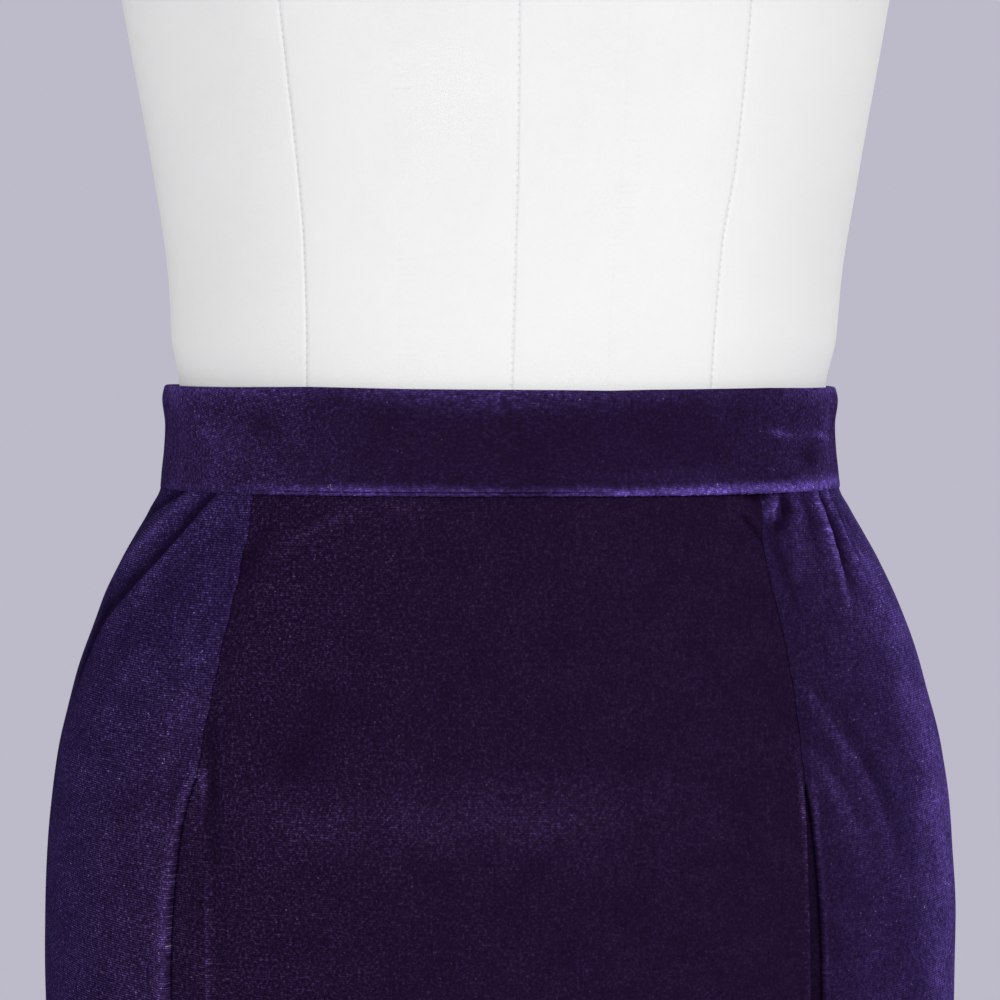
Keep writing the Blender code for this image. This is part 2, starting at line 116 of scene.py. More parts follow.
# Lower edge of the waistband, by angle: how far its roll stands out, how far the skirt starts
# inside it, how deep the groove is that runs just above its edge, how bright the painted
# highlight on the roll is, how high that painted highlight reaches and at what drop it is
# strongest.
BandEdge = namedtuple("BandEdge", "angle roll tuck groove shine reach peak")
BAND_EDGES = [
    BandEdge(angle, roll * MM, tuck * MM, groove * MM, shine, reach * MM, peak * MM)
    for angle, roll, tuck, groove, shine, reach, peak in (
        (-180, 0.35, 0.6, 0, 0.04, 1.2, 36), (-84, 0.05, 0.25, 0, 0.006, 1, 36),
        (-56, 0.05, 0.25, 0, 0.014, 1.4, 35.4), (-47, 0.15, 0.4, 0.1, 0.014, 1.6, 35.4),
        (-38, 0.4, 0.8, 0.26, 0.046, 1.8, 35.6), (-24, 0.5, 1.1, 0.3, 0.12, 1.9, 35.8),
        (-10, 0.5, 1.1, 0.3, 0.114, 1.9, 35.4), (2, 0.5, 1.1, 0.34, 0.04, 1.4, 35.8),
        (12, 0.7, 1.2, 0.22, 0.14, 1.9, 36), (17, 0.9, 1.25, 0, 0.185, 1.8, 36.2),
        (30, 1.05, 1.3, 0, 0.225, 2, 36), (38, 1.05, 1.4, 0, 0.205, 1.9, 35.4),
        (46, 0.8, 1.4, 0, 0.24, 2, 35.5), (54, 0.35, 0.7, 0, 0.24, 2.1, 35.5),
        (66, 0.2, 0.4, 0, 0.2, 2.3, 35.3), (78, 0.15, 0.35, 0, 0.14, 2.8, 34),
        (110, 0.3, 0.5, 0, 0.06, 1.8, 36), (180, 0.35, 0.6, 0, 0.04, 1.2, 36),
    )
]
# How far the band's folded top stands above its even line, and how bright the painted highlight
# along it is, by angle.
TopRise = namedtuple("TopRise", "angle rise shine")
TOP_RISES = [
    TopRise(angle, rise * MM, shine)
    for angle, rise, shine in (
        (-180, 0.4, 0.02), (-110, 0.6, 0.03), (-88, 1.1, 0.062), (-50, 1.05, 0.048),
        (-30, 1.45, 0.024), (-22, 1.2, 0.026), (-12, 0.8, 0.06), (8, 0.45, 0.046),
        (15, 0.2, 0.034), (22, 0.5, 0.026), (48, 0.8, 0.008), (62, 0.5, 0.05), (90, 0.3, 0.08),
        (180, 0.4, 0.02),
    )
]
GROOVE_DROP = 0.0357
GROOVE_WIDTH = 0.00024

# Creases of the velvet. Each runs through its points, which give angle, drop, width and height,
# in millimetres from the drop on; a height below 0 makes a trough. Crests also get painted
# highlight and troughs painted shade.
CREASES = {
    "left_drag_trough": ((-50.5, 35.5, 1.4, -0.5), (-54, 39.7, 1.5, -1.9),
        (-57.8, 50.4, 1.8, -2.2), (-62.4, 61.9, 2.2, -1.9), (-69.7, 75.3, 2.8, -1.8),
        (-74.8, 81, 3, -2), (-77.2, 90, 3.2, -1.9), (-78, 99, 3.2, -1.3), (-79, 110, 3.2, -0.1)),
    "left_upper_trough": ((-60, 35, 1.2, -0.6), (-62.6, 35.9, 1.3, -1.6),
        (-70.8, 40.4, 1.5, -1.7), (-77.6, 45, 1.9, -1.2), (-86, 51, 2.4, -0.3)),
    "left_drag_ridge": ((-55.5, 35.5, 2, 0.4), (-58, 37.4, 2.4, 1), (-63.7, 45.7, 2.8, 1.7),
        (-68.8, 54.1, 3.4, 1.6), (-78, 66, 4.6, 0.7), (-88, 80, 5.2, 0.1)),
    "left_seam_ridge": ((-50, 39, 1.4, 0.1), (-53, 46, 1.5, 0.35), (-56.2, 54.5, 1.6, 0.45),
        (-60.4, 65.5, 1.8, 0.45), (-67.4, 79, 2, 0.4), (-73.6, 90, 2.2, 0.35),
        (-76, 104, 2.4, 0.05)),
    "left_seam_trough": ((-43.2, 40.5, 3, -0.1), (-44.3, 44.8, 3.4, -0.3), (-50, 62, 4.4, -0.35),
        (-55.9, 79.2, 5.4, -0.35), (-67.3, 120.4, 7, -0.2), (-72, 140, 8, 0)),
    "left_hip_ridge": ((-44, 72, 5, 0.05), (-52, 92, 6.5, 0.15), (-64, 118, 8, 0.2),
        (-76, 142, 9, 0.05)),
    "left_seam_valley": ((-36.4, 108, 2.6, -0.1), (-36.1, 123, 2.7, -0.8),
        (-35, 140.6, 2.8, -0.9), (-34.4, 165, 3.6, -0.5), (-33.6, 195, 4.6, 0)),
    "right_inner_ridge": ((62.8, 34.5, 1, 0.9), (62, 37, 1.1, 2.2), (61.4, 41.2, 1, 2.6),
        (59.4, 53.7, 1.1, 2.4), (57.4, 65, 1.3, 1.8), (56.2, 76, 1.6, 0.9), (55.4, 84, 2.2, 0.1)),
    "right_inner_trough": ((65.2, 36.5, 1.2, -0.6), (64.2, 43, 1.5, -1.3), (62, 55, 1.7, -1.3),
        (60.4, 66, 1.9, -0.8), (59.4, 76, 2.2, -0.1)),
    "right_outer_ridge": ((67.9, 34.8, 0.8, 0.8), (67.6, 37, 0.9, 1.8), (67.2, 42.3, 0.9, 2.2),
        (65, 54.2, 0.9, 2.2), (65, 62.1, 1.1, 1.8), (65.2, 72, 1.3, 0.9), (65.6, 80, 1.8, 0.1)),
    "right_outer_trough": ((70.2, 37, 1.2, -0.7), (69.6, 44, 1.4, -1.2), (68.2, 55, 1.6, -0.8),
        (68, 64, 2, 0)),
    "right_side_ridge": ((71.7, 35.5, 1.3, 0.5), (72.8, 42, 1.6, 1.2), (75.2, 48.4, 2, 1),
        (79, 58, 2.8, 0.2)),
    "right_soft_ridge": ((54.9, 38, 2.6, 0.4), (54.3, 41.5, 2.2, 0.9), (51.3, 50.3, 2.4, 0.9),
        (47, 62, 3.6, 0.7), (44.2, 71.1, 4, 0.1)),
    "right_soft_trough": ((58.3, 38, 1.8, -0.4), (56.6, 47, 2.2, -0.8), (54, 60, 3, -0.5),
        (51.5, 74, 4, 0)),
    "right_sweep": ((39.6, 104.5, 2, 0.2), (41.2, 107.9, 1.8, 0.6), (44.5, 122.8, 2, 0.7),
        (47.6, 131.7, 2.2, 0.7), (52.6, 154.3, 2.8, 0.5), (58, 182, 7, 0.1)),
    "right_sweep_trough": ((44.6, 108, 3, -0.3), (48.6, 122, 3.6, -0.6), (53.5, 142, 4.4, -0.6),
        (58, 164, 7, 0)),
    "right_low_sweep": ((39.3, 128.5, 2.8, 0.3), (40.8, 132.5, 2.2, 0.7), (42.9, 143.1, 2.4, 0.8),
        (45.2, 153, 2.8, 0.7), (48.5, 170, 5, 0.1)),
    "pucker_ridge": ((49, 37.4, 0.9, 1.2), (48, 40.4, 1, 2.4), (45.8, 42.6, 1.1, 2.5),
        (43.9, 44.6, 1.2, 1.9), (43, 47.4, 1.3, 0.2)),
    "pucker_hollow": ((51.4, 38.8, 1.8, -1.2), (50.8, 42.6, 2.3, -2.4), (48.6, 46.4, 2, -1.6),
        (46.2, 49.2, 2.4, -2.1), (45, 52.5, 2.2, -0.2)),
    "pucker_cave": ((41, 37.8, 0.9, -0.5), (43.4, 38.2, 1.1, -1.2), (46.4, 38.2, 1, -1.2)),
    "right_seam_trough": ((43.4, 48, 1.6, -0.1), (42.8, 56, 1.9, -0.4), (42.6, 68, 2, -0.35),
        (42.8, 84, 2, 0)),
    "front_seam_crease": ((38.2, 43, 1, -0.2), (39.3, 46.1, 1, -1.2), (40.4, 49.7, 1, -1.3),
        (40.9, 55, 1, -0.4)),
    "front_left_arc": ((-12, 38.2, 1.6, 0.1), (-16.2, 40.4, 1.8, 0.2), (-21.7, 43.7, 2, 0.28),
        (-27.1, 49.1, 2.2, 0.28), (-31.9, 59.1, 2.6, 0.15), (-33.5, 70, 3, 0)),
    "front_right_pull": ((38.2, 38, 1.2, 0.14), (35.1, 45.9, 1.4, 0.12), (31.4, 54.5, 1.8, 0.05),
        (29, 62, 2, 0)),
    "front_right_fold": ((40.6, 38, 1, 0.2), (38.4, 44, 1.1, 0.14), (37.2, 50, 1.3, 0.05),
        (36.6, 57, 1.5, 0)),
    "back_right_ridge": ((110, 37, 2.4, 0.6), (113, 43, 3.6, 1.9), (119, 62, 4.6, 1.6),
        (128, 100, 6.8, 0.5), (133, 122, 8, 0)),
    "back_right_trough": ((119, 37.5, 2.4, -0.5), (122, 45, 3.4, -1.2), (130, 66, 4.8, -0.9),
        (139, 92, 6, 0)),
    "back_left_ridge": ((-113, 37, 2.6, 0.6), (-117, 46, 3.8, 1.8), (-125, 70, 5.4, 1.5),
        (-135, 104, 7.4, 0.2)),
    "back_left_trough": ((-104, 37.5, 2, -0.4), (-108, 46, 3, -0.9), (-115, 64, 4.4, -0.7),
        (-124, 88, 6, 0)),
    "back_right_sweep": ((154, 146, 6, 0.1), (146, 156, 8, 1.3), (130, 180, 9, 1.3),
        (114, 212, 10, 0.1)),
    "back_left_sweep": ((-150, 136, 6, 0.1), (-142, 146, 8, 1.1), (-130, 168, 9, 1.2),
        (-118, 196, 10, 0.1)),
}

BAND_CREASES = {
    "right_crease": ((45, 15.2, 0.7, 0), (48.5, 15.6, 0.8, 0.55), (53.5, 16.4, 0.9, 0.85),
        (57.5, 17.2, 0.8, 0.5), (61, 17, 0.7, 0.25), (65.5, 16.2, 0.8, 0.65),
        (70, 17.4, 0.9, 0.8), (74, 19, 1.2, 0.1)),
    "right_upright": ((70.5, 6, 1.8, 0.05), (71.1, 11.5, 1.8, 0.35), (70.4, 20, 1.8, 0.45),
        (69.2, 29.7, 2.2, 0.2), (69, 34, 2.4, 0)),
    "right_hollow": ((56, 22.5, 4, -0.15), (62, 24.5, 4.5, -0.3), (66.5, 26, 3, -0.15)),
    "left_diagonal": ((-74, 1, 3, 0), (-68.3, 4.1, 3.6, 0.22), (-57.3, 12.5, 4.2, 0.3),
        (-48, 21.1, 4.2, 0.18), (-41, 27, 4, 0)),
    "left_hollow": ((-43.5, 9, 5, -0.16), (-39.5, 13.5, 5.5, -0.26)),
    "centre_swell": ((-12, 4.6, 2.4, 0), (-2, 5.2, 3, 0.2), (12, 6, 3, 0.2), (22, 6, 2.4, 0)),
    "back_crease": ((160, 12, 1.6, 0), (172, 14, 2, 0.35), (184, 15.5, 2, 0.3),
        (196, 14, 1.8, 0)),
}

# Painted sheen of the pile, by angle: how much its colour is brightened where light falls on it,
# evenly and in sparks of single fibres. The front panel's table takes over between the front
# seams.
PaintedSheen = namedtuple("PaintedSheen", "angle even spark")
SIDE_PAINTED_SHEEN = table(
    PaintedSheen,
    (-180, 0.005, 0.014), (-120, 0.005, 0.014), (-88, 0.012, 0.01), (-76, 0.005, 0.019),
    (-60, 0.003, 0.0275), (-36, 0.003, 0.0275), (36, 0.003, 0.005), (40, 0.004, 0.009),
    (48, 0.009, 0.016), (56, 0.01, 0.021), (60, 0.012, 0.023), (64, 0.025, 0.042),
    (70, 0.041, 0.066), (84, 0.048, 0.074), (98, 0.02, 0.034), (135, 0.006, 0.016),
    (180, 0.005, 0.014),
)
FRONT_PAINTED_SHEEN = table(
    PaintedSheen,
    (-45, 0, 0.011), (-30, 0, 0.0108), (-18, 0.001, 0.0085), (-6, 0.003, 0.005),
    (10, 0.005, 0.0036), (30, 0.0062, 0.0026), (48, 0.0062, 0.0028),
)
BAND_PAINTED_SHEEN = table(
    PaintedSheen,
    (-180, 0.005, 0.012), (-100, 0.012, 0.012), (-82, 0.02, 0.016), (-72, 0.013, 0.024),
    (-50, 0.005, 0.032), (-38, 0.002, 0.023), (-28, 0.002, 0.012), (-14, 0.003, 0.005),
    (10, 0.003, 0.0035), (26, 0.006, 0.004), (36, 0.007, 0.006), (50, 0.009, 0.011),
    (60, 0.015, 0.022), (68, 0.022, 0.03), (80, 0.026, 0.036), (100, 0.012, 0.014),
    (180, 0.005, 0.012),
)

# Patches where the pile is brushed another way, and painted highlights and painted shade on
# creases, lips and seams: middle, half sizes along and across the patch, its turn in degrees down
# to the right, and what it adds to the painted even sheen and to the painted sparks.
Patch = namedtuple("Patch", "angle drop along across turn even spark")
BAND_PATCHES = table(
    Patch,
    (-57, 12.5, 11, 4, 42, 0.004, 0.014), (-40, 12, 6, 5, 0, -0.003, -0.011),
    (-62, 20, 6, 6, 0, -0.002, -0.008), (-30, 20, 9, 5, 20, 0.002, 0.005),
    (-4, 6, 18, 3.4, 0, 0.005, 0.003), (-75, 6, 22, 6, 0, 0.006, 0.012),
    (52, 16, 8, 1.1, 8, 0.03, 0.05), (67, 16.8, 7, 1.2, 8, 0.036, 0.054),
    (71.5, 19, 1.3, 11, 0, 0.026, 0.022), (61, 24.5, 8, 4, 0, -0.012, -0.016),
    (57, 9, 9, 4, 0, -0.004, -0.003), (30, 19, 22, 7, 0, -0.002, -0.002),
    (25, 30, 26, 2.4, 0, 0.006, 0.006),
)
SKIRT_PATCHES = table(
    Patch,
    (-26, 49, 20, 3, -34, 0.001, 0.003), (-12, 42, 12, 3, -20, 0.002, 0.003),
    (-48, 44, 8, 7, 0, 0.002, 0.012), (-66, 50, 14, 3.6, 124, 0.012, 0.012),
    (-62, 72, 22, 5, 124, 0.003, 0.01), (-40.5, 104, 4, 20, 12, 0.002, 0.008),
    (-45, 82, 14, 8, 0, -0.001, -0.009), (-50, 146, 18, 11, 0, -0.001, -0.008),
    (-74.5, 90, 18, 4.5, 128, -0.012, -0.024), (-36.3, 140, 1.3, 8, 0, 0.022, 0.036),
    (-37.4, 138.5, 2.4, 4.5, 0, 0.01, 0.034), (-40.8, 146, 2.6, 11, 0, -0.003, -0.018),
    (36.9, 149, 0.8, 14, 0, 0.014, 0.032), (39.1, 150, 1, 12, 0, 0.012, 0.024),
    (75, 43, 22, 12, 60, -0.024, -0.048), (64.5, 50, 15, 7, 104, -0.012, -0.032),
    (70.5, 66, 10, 4, 75, 0.018, 0.036), (-77, 92, 14, 5, 95, -0.016, -0.026),
    (59.4, 52, 17, 1, 110, 0.03, 0.07), (65.8, 52, 16, 0.8, 102, 0.036, 0.08),
    (62.6, 52, 13, 1.7, 107, -0.012, -0.022), (74, 148, 14, 28, 0, 0.018, 0.034),
    (-38.8, 68, 2.4, 12, 10, 0, -0.01), (43.5, 60, 3, 22, 0, -0.003, -0.009),
    (1, 148, 34, 12, 0, 0.005, 0.006), (-20, 152, 26, 9, 0, 0.003, 0.005),
    (-22.5, 127, 10, 10, 0, -0.001, -0.006), (-20, 108, 8, 7, 0, 0, -0.005),
    (-36, 60, 5, 18, 12, 0, -0.008), (-41, 150, 10, 4, -40, 0.003, 0.004),
    (-41.8, 63, 3.2, 7, 0, 0, -0.012), (-43.6, 78, 3, 9, 10, 0.002, 0.012),
    (-50, 92, 12, 7, -50, 0, -0.006), (46.6, 42.4, 4, 1.1, 128, 0.06, 0.07),
    (61, 84, 20, 5, 70, 0.004, 0.01), (46.5, 88, 18, 5, 84, -0.005, -0.004),
    (53, 112, 14, 6, 60, -0.003, -0.004), (150, 110, 40, 22, 60, 0.004, 0.009),
    (-150, 150, 46, 20, -50, 0.003, 0.009), (180, 70, 30, 14, 0, -0.003, -0.006),
    (20, 330, 60, 26, 70, 0.003, 0.007), (-24, 430, 70, 22, 80, 0.003, 0.007),
    (-60, 300, 90, 14, 96, -0.003, -0.01), (5, 560, 60, 10, 0, 0.004, 0.006),
)

# The patches' angles count as distances on a circle of this radius.
PATCH_RADIUS = 0.13

# Below the form the cloth hangs free in shallow flutes, which are deepest at the hem.
# Each is given by how many go round the skirt, the angle where they start and their height.
FLUTES = ((3, 40, 0.0016), (5, 205, 0.0012), (8, 110, 0.0006))
# Slight unevenness: how much each wave bends, its turns a metre round and down the skirt, its
# start and its height in millimetres.
RIPPLES = (
    (0.31, 141, 53, 0.3, 0.1), (0.73, -67, 97, 1.9, 0.09),
    (0.12, 211, -149, 4.1, 0.05), (0.57, 37, 181, 2.7, 0.05),
)


# ---- surfaces


def smoothstep(low, high, value):
    share = np.clip((value - low) / (high - low), 0, 1)
    return share * share * (3 - 2 * share)


def bell(away, width):
    return np.exp(-((away / width) ** 2))


def wrapped(angle):
    """The same angles, from -180 up to 180 degrees."""
    return (np.asarray(angle, float) + 180) % 360 - 180


def by_angle(rows, angle):
    """A table's row at any angles, on straight lines between its rows."""
    angle = wrapped(angle)
    angles, *columns = np.array(rows).T
    return type(rows[0])(angle, *[np.interp(angle, angles, values) for values in columns])


def by_drop(rows, drop):
    """A table's row at any drops, on smooth curves that never overshoot its rows."""
    drops, *columns = np.array(rows).T
    steps = np.diff(drops)
    drop = np.clip(np.asarray(drop, float), drops[0], drops[-1])
    at = np.clip(np.searchsorted(drops, drop, side="right") - 1, 0, len(steps) - 1)
    share = (drop - drops[at]) / steps[at]
    found = []
    for values in columns:
        slopes = np.diff(values) / steps
        product = slopes[:-1] * slopes[1:]
        total = np.where(product > 0, slopes[:-1] + slopes[1:], 1)
        inner = np.where(product > 0, 2 * product / total, 0)
        tangents = np.concatenate(([slopes[0]], inner, [slopes[-1]]))
        found.append(
            (1 + 2 * share) * (1 - share) ** 2 * values[at]
            + share * (1 - share) ** 2 * steps[at] * tangents[at]
            + share**2 * (3 - 2 * share) * values[at + 1]
            - share**2 * (1 - share) * steps[at] * tangents[at + 1]
        )
    return type(rows[0])(drop, *found)


def point_on(rows, drop, angle, outward):
    """Points of a surface, moved out along the level section's normal."""
    drop, angle, outward = np.broadcast_arrays(drop, angle, outward)
    section = by_drop(rows, drop)
    across = np.sin(np.radians(angle))
    ahead = np.cos(np.radians(angle))
    depth = np.where(ahead >= 0, section.front, section.back)
    bend = 2 / SECTION_POWER
    x = np.sign(across) * section.half_width * np.abs(across) ** bend
    y = -np.sign(ahead) * depth * np.abs(ahead) ** bend
    steep = SECTION_POWER - 1
    normal_x = np.sign(x) * np.abs(x / section.half_width) ** steep / section.half_width
    normal_y = np.sign(y) * np.abs(y / depth) ** steep / depth
    length = np.hypot(normal_x, normal_y)
    x = x + section.shift + normal_x / length * outward
    y = y + normal_y / length * outward
    return np.stack((x, y, BAND_TOP_Z - drop), axis=-1)


class Wrap:
    """Distances round a surface from the middle of its front, by drop and angle."""

    def __init__(self, rows, low, high):
        self.drops = np.linspace(low, high, 240)
        self.angles = np.linspace(-180, 360, 1081)
        points = point_on(rows, self.drops[:, None], self.angles[None, :], 0)
        steps = np.linalg.norm(np.diff(points, axis=1), axis=-1)
        arcs = np.concatenate((np.zeros((len(steps), 1)), np.cumsum(steps, axis=1)), axis=1)
        middle = np.searchsorted(self.angles, 0)
        self.arcs = arcs - arcs[:, middle : middle + 1]

    def row(self, drop):
        place = np.interp(drop, self.drops, np.arange(len(self.drops)))
        low = min(int(place), len(self.drops) - 2)
        share = place - low
        return self.arcs[low] * (1 - share) + self.arcs[low + 1] * share

    def arc(self, drops, angles):
        angles = angles if np.ndim(angles) else np.full(len(drops), angles)
        return np.array([np.interp(a, self.angles, self.row(d)) for d, a in zip(drops, angles)])

    def angle(self, drops, arcs):
        return np.array([np.interp(a, self.row(d), self.angles) for d, a in zip(drops, arcs)])


def form_rows():
    """Sections of the whole form: those above the band, then the skirt's less their clearance."""
    rows = list(FORM_SECTIONS)
    for skirt in SKIRT_SECTIONS:
        drop, side, depth, shift = by_drop(FORM_CLEARANCES, skirt.drop)
        sizes = (skirt.half_width - side, skirt.front - depth, skirt.back - depth)
        rows.append(Section(skirt.drop, *sizes, shift))
    return rows


skirt_wrap = Wrap(SKIRT_SECTIONS, 0, SKIRT_LENGTH)
FORM_ROWS = form_rows()
form_wrap = Wrap(FORM_ROWS, -NECK_RISE, FORM_END_DROP)


def angle_of(rows, offset, drops):
    """Angle at which a surface lies a distance to the right of its middle line."""
    share = np.clip(np.abs(offset) / by_drop(rows, drops).half_width, 0, 1)
    return np.sign(offset) * np.degrees(np.arcsin(share ** (SECTION_POWER / 2)))


def seam_arc(mouth, drops):
    """Distance of a front seam from the middle of the front, as if its mouth were closed."""
    offsets = mouth.sign * getattr(by_drop(FRONT_SEAMS, drops), mouth.name)
    wobble = np.sin(drops * 2 * math.pi / 0.0151 + 1.3 * mouth.sign)
    wobble = (wobble + 0.5 * np.sin(drops * 2 * math.pi / 0.0053 + 0.4)) * mouth.wobble
    away = smoothstep(mouth.top + 0.002, mouth.top - 0.01, drops)
    return skirt_wrap.arc(drops, angle_of(SKIRT_SECTIONS, offsets, drops)) + wobble * MM * away


def gape_at(mouth, drops):
    share = np.clip((drops - mouth.top) / MOUTH_LENGTH, 0, 1)
    return mouth.gape * np.sin(math.pi * share) ** MOUTH_POWER


def crease_height(drop, arc, creases=CREASES):
    """Height of all the creases at places given by drop and by distance round the skirt."""
    height = np.zeros_like(drop)
    for points in creases.values():
        angles, drops, widths, heights = np.array(points, float).T
        drops, widths, heights = drops * MM, widths * MM, heights * MM
        arcs = skirt_wrap.arc(drops, angles)
        nearest = np.full_like(drop, 1e9)
        value = np.zeros_like(drop)
        for i in range(len(points) - 1):
            run_arc, run_drop = arcs[i + 1] - arcs[i], drops[i + 1] - drops[i]
            share = (arc - arcs[i]) * run_arc + (drop - drops[i]) * run_drop
            share = np.clip(share / (run_arc**2 + run_drop**2), 0, 1)
            width = widths[i] + (widths[i + 1] - widths[i]) * share
            off_arc = arc - arcs[i] - run_arc * share
            away = np.hypot(off_arc, drop - drops[i] - run_drop * share) / width
            closer = away < nearest
            nearest = np.where(closer, away, nearest)
            value = np.where(closer, heights[i] + (heights[i + 1] - heights[i]) * share, value)
        height += value * np.exp(-nearest * nearest)
    return height


def painted_light_at(rows, patches, drop, angle, crest):
    """Painted sheen and sparks of the pile, with painted highlight on crests and painted shade in
    troughs.
    """
    angle, even, spark = by_angle(rows, angle)
    for patch in patches:
        swing = math.radians(patch.turn)
        right = wrapped(angle - patch.angle) * math.radians(1) * PATCH_RADIUS
        down = drop - patch.drop * MM
        along = (right * math.cos(swing) + down * math.sin(swing)) / (patch.along * MM)
        across = (down * math.cos(swing) - right * math.sin(swing)) / (patch.across * MM)
        share = np.exp(-(along**2) - across**2)
        even = even + patch.even * share
        spark = spark + patch.spark * share
    # Crests get painted highlight, and troughs painted shade that is darker the deeper they are.
    rise = np.clip(crest / MM, 0, None)
    fall = np.exp(np.clip(crest / (0.9 * MM), None, 0))
    even = np.clip(even, 0, None) * fall + 0.012 * rise
    spark = np.clip(spark, 0.001, None) * fall + 0.022 * rise
    return np.stack((even, spark, 0.72 + 0.28 * fall), axis=-1)


def flute_height(drop, angle):
    below = smoothstep(FLUTE_START_DROP, SKIRT_LENGTH, drop)
    height = np.zeros_like(drop)
    for count, phase, size in FLUTES:
        height += size * below * np.cos(np.radians(count * angle - phase))
    return height


def ripple(arc, drop):
    """Slight unevenness of hanging velvet, a tenth of a millimetre or two."""
    height = np.zeros_like(drop)
    for bend, along, down, phase, size in RIPPLES:
        warp = bend * np.sin(43 * arc + 29 * drop)
        height += size * MM * np.sin(along * arc + down * drop + phase + 2 * warp)
    return height * smoothstep(0.045, 0.075, drop)


# ---- meshes


def columns_between(first, last, steps, count):
    """Columns from edge to edge: by steps beside both edges, and evenly between these."""
    first, last, margin = first[:, None], last[:, None], steps[-1]
    share = np.linspace(0, 1, count + 1)[1:-1]
    middle = first + margin + (last - first - 2 * margin) * share
    return np.concatenate((first + steps, middle, last - steps[::-1]), axis=1)


def grid_faces(rows, columns, start, ring):
    """Quads of a grid, as vertex indices and as (row, column) corners for its UV map."""
    row, column = np.meshgrid(np.arange(rows - 1), np.arange(columns - 1), indexing="ij")
    row, column = row.ravel(), column.ravel()
    corners = [(row, column), (row + 1, column), (row + 1, column + 1), (row, column + 1)]
    width = columns - 1 if ring else columns
    faces = np.stack([start + r * width + c % width for r, c in corners], axis=1)
    places = np.stack([r * columns + c for r, c in corners], axis=1)
    return faces, places


def add_piece(name, points, faces, uvs, material, node, sharp=55, pile=None):
    """A piece from arrays: points, faces as lists of indices, and one (u, v) a corner."""
    mesh = bpy.data.meshes.new(name)
    mesh.from_pydata(points.tolist(), [], faces)
    if pile is not None:
        # Painted light kept on the points: even sheen, sparks, and shade in troughs and grooves.
        for at, kind in enumerate(("painted_even_sheen", "painted_sparks", "painted_shade")):
            kept = mesh.attributes.new(kind, "FLOAT", "POINT")
            kept.data.foreach_set("value", pile[..., at].ravel().astype(np.float32))
    layer = mesh.uv_layers.new(name="cloth")
    layer.data.foreach_set("uv", np.asarray(uvs, np.float32).ravel())
    mesh.shade_smooth()
    mesh.set_sharp_from_angle(angle=math.radians(sharp))
    mesh.materials.append(material)
    piece = bpy.data.objects.new(name, mesh)
    bpy.context.scene.collection.objects.link(piece)
    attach(piece, "root")
    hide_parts(node)
    return piece


def shell_piece(node, drop, angle, outward, inward, arc, pile, material):
    """A velvet piece: a closed thin shell between two heights over the same grid of places."""
    rows, columns = arc.shape
    count = rows * columns
    out_faces, out_places = grid_faces(rows, columns, 0, False)
    in_faces, in_places = grid_faces(rows, columns, count, False)
    faces = [out_faces, in_faces[:, ::-1]]
    places = [out_places, in_places[:, ::-1]]
    number = np.arange(count).reshape(rows, columns)
    rims = ((number[0], 1), (number[-1], -1), (number[:, 0], -1), (number[:, -1], 1))
    for rim, way in rims:
        near, far = rim[:-1], rim[1:]
        faces.append(np.stack((near, far, far + count, near + count), axis=1)[:, ::way])
        places.append(np.stack((near, far, far, near), axis=1)[:, ::way])
    sides = [point_on(SKIRT_SECTIONS, drop, angle, height) for height in (outward, inward)]
    points = np.concatenate([side.reshape(-1, 3) for side in sides])
    uvs = np.stack((arc, drop), axis=-1).reshape(-1, 2)[np.concatenate(places).ravel()]
    pile = np.concatenate((pile.reshape(-1, 3), pile.reshape(-1, 3)))
    faces = np.concatenate(faces).tolist()
    return add_piece("velvet_" + node, points, faces, uvs, material, node, pile=pile)


def ring_piece(name, rings, uv, material, node, tube=False, sharp=55, pile=None):
    """A surface of level rings, one row each: closed on itself as a tube, or else capped."""
    rows, around = rings.shape[:2]
    if tube:
        uv = np.concatenate((uv, uv[-1:] + (uv[1:2] - uv[:1])))
    faces, places = grid_faces(rows + tube, around + 1, 0, True)
    faces = (faces % (rows * around)).tolist()
    points = rings.reshape(-1, 3)
    uvs = uv.reshape(-1, 2)[places.ravel()]
    if not tube:
        ends = np.stack((rings[0].mean(axis=0), rings[-1].mean(axis=0)))
        points = np.concatenate((points, ends))
        base = (rows - 1) * around
        extra = []
        for step in range(around):
            after = (step + 1) % around
            faces.append([len(points) - 2, step, after])
            faces.append([len(points) - 1, base + after, base + step])
            extra += [uv[0, step], uv[0, step], uv[0, step + 1]]
            extra += [uv[-1, step], uv[-1, step + 1], uv[-1, step]]
        uvs = np.concatenate((uvs, np.array(extra)))
    return add_piece(name, points, faces, uvs, material, node, sharp, pile)


# ---- materials


def connect(tree, node, sockets):
    """Fill inputs of a node, each with a value or with what another node gives."""
    for key, value in sockets.items():
        value = getattr(value, "socket", value)
        if isinstance(value, bpy.types.NodeSocket):
            tree.links.new(value, node.inputs[key])
        else:
            node.inputs[key].default_value = value


def add_node(tree, kind, sockets=None, **settings):
    made = tree.nodes.new("ShaderNode" + kind)
    for name, value in settings.items():
        setattr(made, name, value)
    connect(tree, made, sockets or {})
    return made


class Value:
    """A number that a node gives, on which arithmetic adds math nodes."""

    def __init__(self, tree, socket):
        self.tree, self.socket = tree, socket

    def __add__(self, other):
        return calculate("ADD", self, other)

    def __sub__(self, other):
        return calculate("SUBTRACT", self, other)

    def __mul__(self, other):
        return calculate("MULTIPLY", self, other)


def calculate(operation, *values):
    tree = next(value.tree for value in values if isinstance(value, Value))
    made = add_node(tree, "Math", dict(enumerate(values)), operation=operation)
    return Value(tree, made.outputs[0])


def spread(value, low, high, to_low=0, to_high=1):
    sockets = {0: value, 1: low, 2: high, 3: to_low, 4: to_high}
    return Value(value.tree, add_node(value.tree, "MapRange", sockets).outputs[0])


